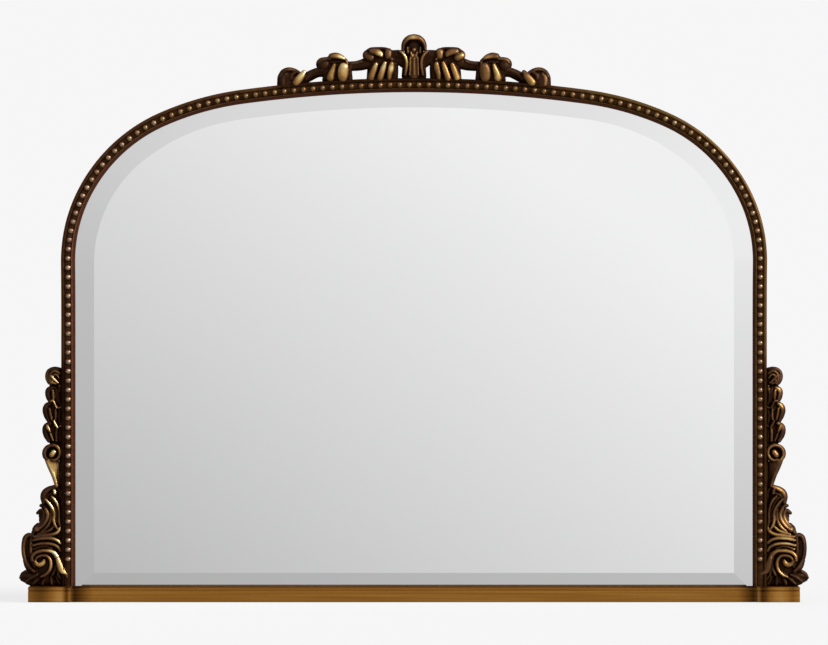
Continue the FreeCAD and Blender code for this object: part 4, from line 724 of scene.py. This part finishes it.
    ([(24.3, 11.5), (30.4, 8.1), (34.9, 5.1)], [1.8, 2.1, 1.5], 16.5, 4, 5),
    ([(20.7, 8.9), (24.9, 5.5), (28.4, 2.3)], [1.8, 2.1, 1.5], 16.5, 4),
    ([(15.6, 9.5), (17.9, 5.5), (19.3, 2.2)], [1.8, 2.2, 1.6], 16.5, 4),
    ([(10.2, 10.1), (10.2, 5.5), (9.6, 2.2)], [1.8, 2.2, 1.6], 16.5, 4),
    ([(4.7, 9.5), (3.1, 5.5), (1.1, 2.3)], [1.8, 2.2, 1.6], 16.5, 5),
]
# the crest's strands the same way, the left half's gilding first and the right half's where it differs, with
# painted light and shade and painted highlights in both
CREST_STRANDS = [
    ([(111.1, -3), (104.1, 2.4), (96.1, 5.6), (88.1, 6)], [4, 5, 4.6, 5], 20, 3),
    ([(91.1, 13.8), (87.1, 6), (88.1, -3)], [7, 5, 3.6], 19, 3),
    ([(83.1, 18), (77.1, 18), (71.1, 15)], [5, 5.4, 4.4], 20, 4),
    ([(83.1, 10), (83.1, -4)], [5, 5.6], 19, 4),
    ([(77.1, 12), (77.1, -4)], 4, 19, 3),
    ([(69.1, 10), (68.1, -4)], [6.8, 7], 19, 4),
    ([(64.1, 12), (58.1, 12.3), (52.1, 13.4), (46.1, 15.4)], [4.8, 4.9, 5.4, 6], 19.5, 6),
    ([(46.1, 23), (36.1, 24.8), (27.1, 24)], [5.4, 6.2, 6], 19.5, 3),
    ([(44.1, 16), (34.1, 17), (24.1, 17)], [4.5, 5.5, 5.5], 19.5, 3),
    ([(41.1, 10), (42.1, -4)], [5.6, 5.8], 19, 3),
    ([(31.1, 10), (33.1, -4)], [5, 5.6], 19, 3),
    ([(22.6, 11), (23.1, -4)], [5, 5.6], 19, 3),
    ([(21.1, 23.5), (14.1, 23), (10.1, 20)], [4.6, 5, 4.6], 20.5, 3),
    ([(20.1, 18), (14.1, 17.4), (9.1, 14)], [5, 4.8, 4.6], 19.5, 3),
    ([(8.8, 16), (8.4, 6), (8.4, -4)], 2.7, 19, 5),
    ([(1.1, 16), (1.1, -4)], 7, 18, 10),
    ([(117.1, 3), (117.1, -6)], [4.4, 6], 19, 3),
    ([(126.7, -1), (128.4, -7.6)], [10.2, 8.8], 22, 5, 12),
    ([(134.2, 1), (132.4, 5.6), (128.4, 8.3), (124.1, 8.9), (119.4, 7.8), (115.4, 5.6)], [1.7, 1.9, 1.9,
     1.9, 1.8, 1.6], 23.5, [5, 10, 22, 42, 26, 14], [10, 17, 31, 34, 26, 17]),
    ([(131.1, -7), (131.4, 0), (128.4, 4)], [2.4, 2.8, 2], 23.5, 7, [42, 51, 17]),
    ([(123.1, -1), (122.4, 3), (119.1, 5.4)], [2, 2.4, 1.8], 23, 7, 14),
    ([(109.9, 6), (112.7, 2), (116.1, -2.4), (118.1, -4.6)], [2.1, 3.6, 4.2, 3.9], 26.5, [100, 92, 70, 50],
     [34, 51, 64, 64]),
    ([(108.4, -1), (104.4, 3.6), (98.4, 7), (92.1, 8)], [2.4, 3, 3, 2.6], 21.5, 6),
    ([(91.4, 13.6)], 6.6, 23.5, 5, 9),
    ([(95.4, 15.4), (93.4, 17.8), (89.4, 19.1), (84.4, 19.2)], [1.5, 1.8, 1.9, 1.6], 24.5, [8, 16, 24, 14],
     [26, 42, 34, 21]),
    ([(82.7, 22), (78.1, 22.4), (73.4, 21.2), (70.1, 19.6)], [2.8, 3.1, 2.6, 1.7], 26.5, [36, 60, 100, 85],
     [34, 47, 64, 42]),
    ([(83.1, 16.2), (77.1, 16.6), (71.1, 16.2)], [2.2, 2.4, 2.2], 21, 3),
    ([(69.4, 19.2), (67.4, 17), (66.7, 14)], [1.3, 1.5, 1.3], 25.5, [14, 44, 34], 17),
    ([(79.9, 12.8), (81.4, 8), (83.2, 3), (83.8, 0)], [2, 3, 3.7, 4.2], 24.5, [45, 60, 66, 52], [64, 72, 77,
     72]),
    ([(87.4, 10), (88.7, 4), (90.1, -2)], [2.2, 2.2, 1.9], 20, 4),
    ([(70.2, 10.8), (70.9, 7), (71.2, 2.6), (71.2, 0.5)], [5, 5.8, 5.5, 4.9], 27, [95, 88, 70, 52], [42, 48,
     48, 42]),
    ([(63.7, 14), (63.9, 6), (64.1, -2)], [1.6, 1.6, 1.4], 21, 8, 5),
    ([(63.1, 14.2), (57.1, 15), (52.1, 16.6)], [1.4, 1.6, 1.6], 21.5, 14),
    ([(47.7, 22.6), (43.4, 20.6)], [3.8, 4], 24.5, [30, 34], [64, 42]),
    ([(42.4, 26.8), (38.1, 26.2), (34.2, 24.4), (32.7, 22.4)], [2.9, 3.5, 3.2, 2], 27, [30, 50, 100, 85],
     [47, 42, 34, 26]),
    ([(25.7, 26), (25.9, 22)], [4, 3.8], 25, [40, 34], [51, 47]),
    ([(46.7, 27.4), (43.1, 29.3), (36.1, 29.7), (29.1, 29.5), (24.4, 28)], 1.4, 22.5, 6),
    ([(22.2, 18.6)], 2.1, 24, 28, 17),
    ([(38.1, 13.4), (40.1, 8.4), (42.2, 3), (43.4, -0.2)], [2.5, 3.2, 3.5, 3.7], 25, [75, 68, 56, 42], [42,
     64, 72, 72]),
    ([(29.1, 14.8), (30.9, 9.5), (32.9, 3.5), (34.1, -0.2)], [2.2, 3.1, 3.3, 3.4], 25.5, [80, 82, 62, 42],
     [51, 59, 59, 51]),
    ([(22.4, 14), (22.9, 9.6), (24.2, 4.4), (24.8, -0.4)], [2.6, 3.4, 2.9, 2.4], 25, [55, 100, 55, 40], [59,
     53, 42, 34]),
    ([(19.1, 14), (18.9, 6), (19.4, -2)], [3.4, 3.2, 3.2], 20, [12, 6, 4]),
    ([(11.2, 28.4), (10.7, 33.2), (8.6, 37.3), (4.8, 40.1), (0, 40.9)], [1.7, 2, 2.4, 2.7, 3], 30, [5, 10,
     30, 60, 85], [4, 10, 26, 42, 72]),
    ([(0, 34), (0, 27)], 9.6, 21, 12),
    ([(6.7, 30.4), (6.2, 25.4)], [1.4, 1.5], 24.5, 36),
    ([(0, 28)], 2.6, 24.5, 42),
    ([(3.2, 25.6), (1.7, 21.6)], [1.2, 1.4], 24.5, 50),
    ([(13.9, 26.6), (10.9, 24.4), (8.4, 20.4), (7.4, 15.6), (7.6, 10.4), (8.9, 3)], [1.3, 1.75, 1.8, 1.8,
     1.7, 1.5], 26.5, [55, 80, 78, 66, 50, 24], [34, 42, 42, 38, 34, 17]),
    ([(10.9, 20), (10.2, 12), (10.7, 2)], [1.7, 1.7, 1.8], 20, 5),
    ([(0, 22.6), (0, 18), (0, 3)], [3.2, 5, 5.4], 22.5, [60, 44, 40]),
    ([(3.7, 20.6), (4.1, 12), (4.4, 3)], [1, 1.1, 1.1], 24.2, [55, 55, 45]),
    ([(0, 19.4), (0, 3)], [1, 1.1], 24.2, [55, 45]),
    ([(5.9, 18), (6.1, 2)], 1.4, 19, 10),
    ([(10.1, -1), (0, -0.8)], 2.4, 19.5, 8),
]


def smooth_line(control, step):
    """A smooth curve through rows of control values, place first, sampled about every step."""
    if len(control) == 1:
        return control
    padded = np.concatenate([2 * control[:1] - control[1:2], control, 2 * control[-1:] - control[-2:-1]])
    longest = np.linalg.norm(np.diff(control[:, :2], axis=0), axis=1).max()
    share = np.linspace(0, 1, int(math.ceil(longest / step)) + 1)[None, :-1, None]
    a, b, c, d = (padded[k:len(padded) - 3 + k, None, :] for k in range(4))
    curve = 0.5 * (2 * b + (c - a) * share + (2 * a - 5 * b + 4 * c - d) * share ** 2
                   + (3 * b - a - 3 * c + d) * share ** 3)
    return np.concatenate([curve.reshape(-1, control.shape[1]), control[-1:]])


def blurred(field, weight, sigma):
    """The field smoothed with a Gaussian over the cells that have weight."""
    reach = int(3 * sigma + 1)
    taps = np.arange(-reach, reach + 1)
    kernel = np.exp(-0.5 * (taps / sigma) ** 2)
    sums = [field * weight, weight.astype(float)]
    for axis in (0, 1):
        spots = np.arange(field.shape[axis]) + reach
        edge = [(reach, reach) if k == axis else (0, 0) for k in (0, 1)]
        wide = [np.pad(one, edge) for one in sums]
        sums = [sum(k * np.take(one, spots + t, axis) for k, t in zip(kernel, taps)) for one in wide]
    return sums[0] / np.maximum(sums[1], 1e-9)


def relief(strands, low, high, step):
    """A carving as a height field in millimetres over a grid: the highest of many rounded strands.

    Each strand is a curve with a radius and a front height along it. A place at distance d from it, inside
    the radius r, has the height of the strand's edge plus the strand's rise times a dome of d / r. The
    second field is the distance inside the outline, the last the gilding, painted light and shade included,
    on a left and a right carving."""
    across = np.arange(low[0], high[0] + step, step)
    up = np.arange(low[1], high[1] + step, step)
    height = np.zeros((len(across), len(up)))
    inside = np.full(height.shape, -9.0)
    gilt = np.zeros((2,) + height.shape)
    for points, radii, tops, *gilts_and_light in strands:
        control = np.empty((len(points), 6))
        control[:, :2] = np.array(points) * SQUARE
        control[:, 2] = np.array(radii) * SQUARE
        control[:, 3] = tops
        control[:, 4] = np.array(gilts_and_light[0]) / 100
        control[:, 5] = np.array(gilts_and_light[-1]) / 100
        line = smooth_line(control, 0.9)
        reach = line[:, 2].max() + 2 * step
        i = np.searchsorted(across, [line[:, 0].min() - reach, line[:, 0].max() + reach])
        j = np.searchsorted(up, [line[:, 1].min() - reach, line[:, 1].max() + reach])
        window = (slice(*i), slice(*j))
        gap = np.hypot(across[i[0]:i[1], None, None] - line[:, 0], up[None, j[0]:j[1], None] - line[:, 1])
        share = gap / line[:, 2]
        best = share.argmin(2)
        near = np.minimum(share.min(2), 1)
        radius, top, left, right = (line[best, k] for k in (2, 3, 4, 5))
        rise = np.minimum(np.minimum(0.95 * radius, 2.0 + 0.3 * radius), top - 6)
        dome = 0.6 * np.sqrt(1 - near ** 2) + 0.4 * (1 - near ** 2)
        level = np.where(near < 1, top - rise + rise * dome, 0)
        wins = level > height[window]
        shine = np.stack([left, right]) * (1 - 0.4 * near ** 2)
        gilt[:, window[0], window[1]] = np.where(wins, shine, gilt[:, window[0], window[1]])
        height[window] = np.maximum(height[window], level)
        inside[window] = np.maximum(inside[window], (line[:, 2] - gap).max(2))
    return across, up, height, inside, gilt


def carve(strands, low, high, step, belly):
    """Vertices, faces and attributes of a carving: its relief, walls and flat back, as one closed mesh.

    The whole relief is bellied: it falls away towards the outline. Grid cells inside the outline are kept,
    and the corners on their border are moved out along the distance field to the outline itself. Vertices
    are (across, forward, up)."""
    across, up, height, inside, gilt = relief(strands, low, high, step)
    solid = inside > 0
    full = blurred(solid.astype(float), np.ones(solid.shape), 7.0 / step)
    height = np.where(solid, blurred(height, solid, 0.8), 0)
    cavity = np.clip((height - blurred(height, solid, 2.6 / step)) / 1.6, -1, 1)
    height = np.where(solid, np.maximum(height - belly * (1 - full), 4), 0)
    cell = solid[:-1, :-1] & solid[1:, :-1] & solid[1:, 1:] & solid[:-1, 1:]
    padded = np.pad(cell, 1)
    touch = padded[:-1, :-1].astype(int) + padded[1:, :-1] + padded[1:, 1:] + padded[:-1, 1:]
    used = touch > 0
    slope_a, slope_u = np.gradient(inside, step)
    steep = np.maximum(np.hypot(slope_a, slope_u), 0.3)
    move = np.where(used & (touch < 4), np.clip(inside, 0, 1.2 * step) / steep ** 2, 0)
    count = used.sum()
    index = np.full(used.shape, -1)
    index[used] = np.arange(count)
    front = [across[:, None] - move * slope_a, height, up[None, :] - move * slope_u]
    front = np.stack([one[used] for one in front], 1)
    back = front * [1, 0, 1]
    ci, cj = np.nonzero(cell)
    corner = [index[ci, cj], index[ci + 1, cj], index[ci + 1, cj + 1], index[ci, cj + 1]]
    faces = [np.stack(corner, 1), np.stack(corner[::-1], 1) + count]
    for (di, dj), first, second in (((0, -1), 0, 1), ((1, 0), 1, 2), ((0, 1), 2, 3), ((-1, 0), 3, 0)):
        open_side = ~padded[ci + 1 + di, cj + 1 + dj]
        a, b = corner[first][open_side], corner[second][open_side]
        faces.append(np.stack([b, a, a + count, b + count], 1))
    cavity = np.concatenate([cavity[used], np.full(count, -0.2)])
    gilts_and_light = [np.concatenate([blurred(one, solid, 1.0)[used], np.full(count, 0.04)]) for one in gilt]
    fields = [{"gilt": one, "cavity": cavity} for one in gilts_and_light]
    return np.concatenate([front, back]), np.concatenate(faces), fields


# (lowest corner, highest corner, grid step, belly) of the carvings, and where their plates stand
SIDE_GRID = ((-18.0, 0.4), (64.0, 314.0), 0.55, 10.0)
CREST_GRID = ((-198.0, -14.0), (198.0, 64.0), 0.62, 8.0)
PLATE_BACK = -12.0
OUTER_HALF = SIGHT_HALF + MOULDING
CROWN_TOP = CENTRES[2][1] + RADII[2] + MOULDING
verts, faces, fields = carve(SIDE_STRANDS, *SIDE_GRID)
for side, hand in SIDES:
    placed = np.stack([side * (OUTER_HALF + verts[:, 0]), PLATE_BACK - verts[:, 1],
                       BASE_HEIGHT + verts[:, 2]], 1)
    make_piece(hand + "_leaf_bracket", placed, faces[:, ::side], CARVED, "gilt_resin",
               hand + "_side_ornament", 60, fields[max(side, 0)])
both = [([(side * a, u) for a, u in points], radii, tops, gilts_and_light[which])
        for side, which in ((1, -1), (-1, 0)) for points, radii, tops, *gilts_and_light in CREST_STRANDS]
verts, faces, fields = carve(both, *CREST_GRID)
placed = np.stack([verts[:, 0], PLATE_BACK - verts[:, 1], CROWN_TOP + verts[:, 2]], 1)
make_piece("leaf_crest", placed, faces, CARVED, "gilt_resin", "crest_ornament", 60, fields[0])

# floor, light and camera, in metres
FLOOR_HALF = 30.0
FLOOR_HEIGHT = -0.0004
SUN_FROM = (0.76, -0.42, 0.5)
SUN_STRENGTH = 2.8
SUN_SPREAD = 28.0
EVEN_LIGHT = 0.6
BACKDROP = 0.922
SENSOR = 36.0
CAMERA_AWAY = 12.0
VIEW_WIDTH = 1.1776
VIEW_CENTRE = (0.0, -0.036, 0.3975)


def add_floor():
    """A plain pale floor under the base."""
    mesh = bpy.data.meshes.new("floor")
    corners = np.array([(-1, -1), (1, -1), (1, 1), (-1, 1)]) * FLOOR_HALF
    mesh.from_pydata([(x, y, FLOOR_HEIGHT) for x, y in corners], [], [(0, 1, 2, 3)])
    material, shader, add, feed = new_material("pale_floor")
    feed(shader, {"Base Color": (0.2, 0.2, 0.2, 1), "Roughness": 1.0, "Specular IOR Level": 0.0,
                  "Emission Color": (1, 1, 1, 1), "Emission Strength": 0.713})
    mesh.materials.append(material)
    floor = new_object("floor", mesh)
    floor.visible_glossy = False
    floor.visible_diffuse = False


def add_sun():
    """A soft distant lamp from the upper right."""
    lamp = bpy.data.lights.new("key", "SUN")
    lamp.energy = SUN_STRENGTH
    lamp.angle = math.radians(SUN_SPREAD)
    sun = new_object("key", lamp)
    way = unit(np.array(SUN_FROM))
    sun.rotation_euler = (math.acos(way[2]), 0, math.atan2(way[1], way[0]) + math.pi / 2)


def build_world():
    """A pale studio: plain for the camera, a soft gradient for what the mirror shows, even otherwise.

    With a ray's direction x and z, and r the length of both, the gradient is a plane in x and z near the
    axis, a gentle slope in x / r and z / r round it, and another plane in x and z far out."""
    world = bpy.data.worlds.new("studio")
    bpy.context.scene.world = world
    world.use_nodes = True
    tree = world.node_tree
    tree.nodes.clear()
    add = node_tools(tree)[0]
    axes = add("ShaderNodeSeparateXYZ", {0: add("ShaderNodeTexCoord").outputs["Generated"]}).outputs
    x, z = axes[0], axes[2]
    flat = math_node(add, "SQRT", weighed(add, 0.0, (x, x), (z, z)))
    near = held(add, weighed(add, 0.765, (x, 3.24), (z, 4.71)), 0.5, 0.9)
    length = math_node(add, "MAXIMUM", flat, 0.01)
    aside, above = (math_node(add, "DIVIDE", axis, length) for axis in (x, z))
    aside_square, above_square = (math_node(add, "MULTIPLY", one, one) for one in (aside, above))
    steep = math_node(add, "MULTIPLY", aside_square, weighed(add, 3.5, (aside, 2.3)))
    far = weighed(add, 0.65, (aside, 0.125), (above, 0.13), (above_square, -0.04),
                  (steep, held(add, z, -0.035, 0.012)))
    wide = weighed(add, 0.47, (x, 0.27), (z, 0.16))
    shown = near
    for outer, first, last in ((far, 0.06, 0.1), (wide, 0.3, 0.6)):
        share = mapped(add, flat, (0.0, 1.0), first, last, interpolation_type="SMOOTHSTEP")
        shown = add("ShaderNodeMix", {0: share, 2: shown, 3: outer}).outputs[0]
    path = add("ShaderNodeLightPath").outputs
    mirror_ray = math_node(add, "MAXIMUM", path["Is Glossy Ray"], path["Is Transmission Ray"])
    strength = add("ShaderNodeMix", {0: mirror_ray, 2: EVEN_LIGHT, 3: shown}).outputs[0]
    strength = add("ShaderNodeMix", {0: path["Is Camera Ray"], 2: strength, 3: BACKDROP}).outputs[0]
    background = add("ShaderNodeBackground", {"Color": (1, 1, 1, 1), "Strength": strength})
    add("ShaderNodeOutputWorld", {0: background.outputs[0]})


def add_camera():
    """A long lens straight in front, which sees the view's width at the view's centre."""
    camera = bpy.data.cameras.new("camera")
    camera.sensor_width = SENSOR
    camera.lens = SENSOR * CAMERA_AWAY / VIEW_WIDTH
    camera.clip_end = 100
    eye = new_object("camera", camera)
    eye.location = (VIEW_CENTRE[0], VIEW_CENTRE[1] - CAMERA_AWAY, VIEW_CENTRE[2])
    eye.rotation_euler = (math.pi / 2, 0, 0)
    bpy.context.scene.camera = eye


add_floor()
add_sun()
build_world()
add_camera()
bpy.context.scene.view_settings.view_transform = "Standard"
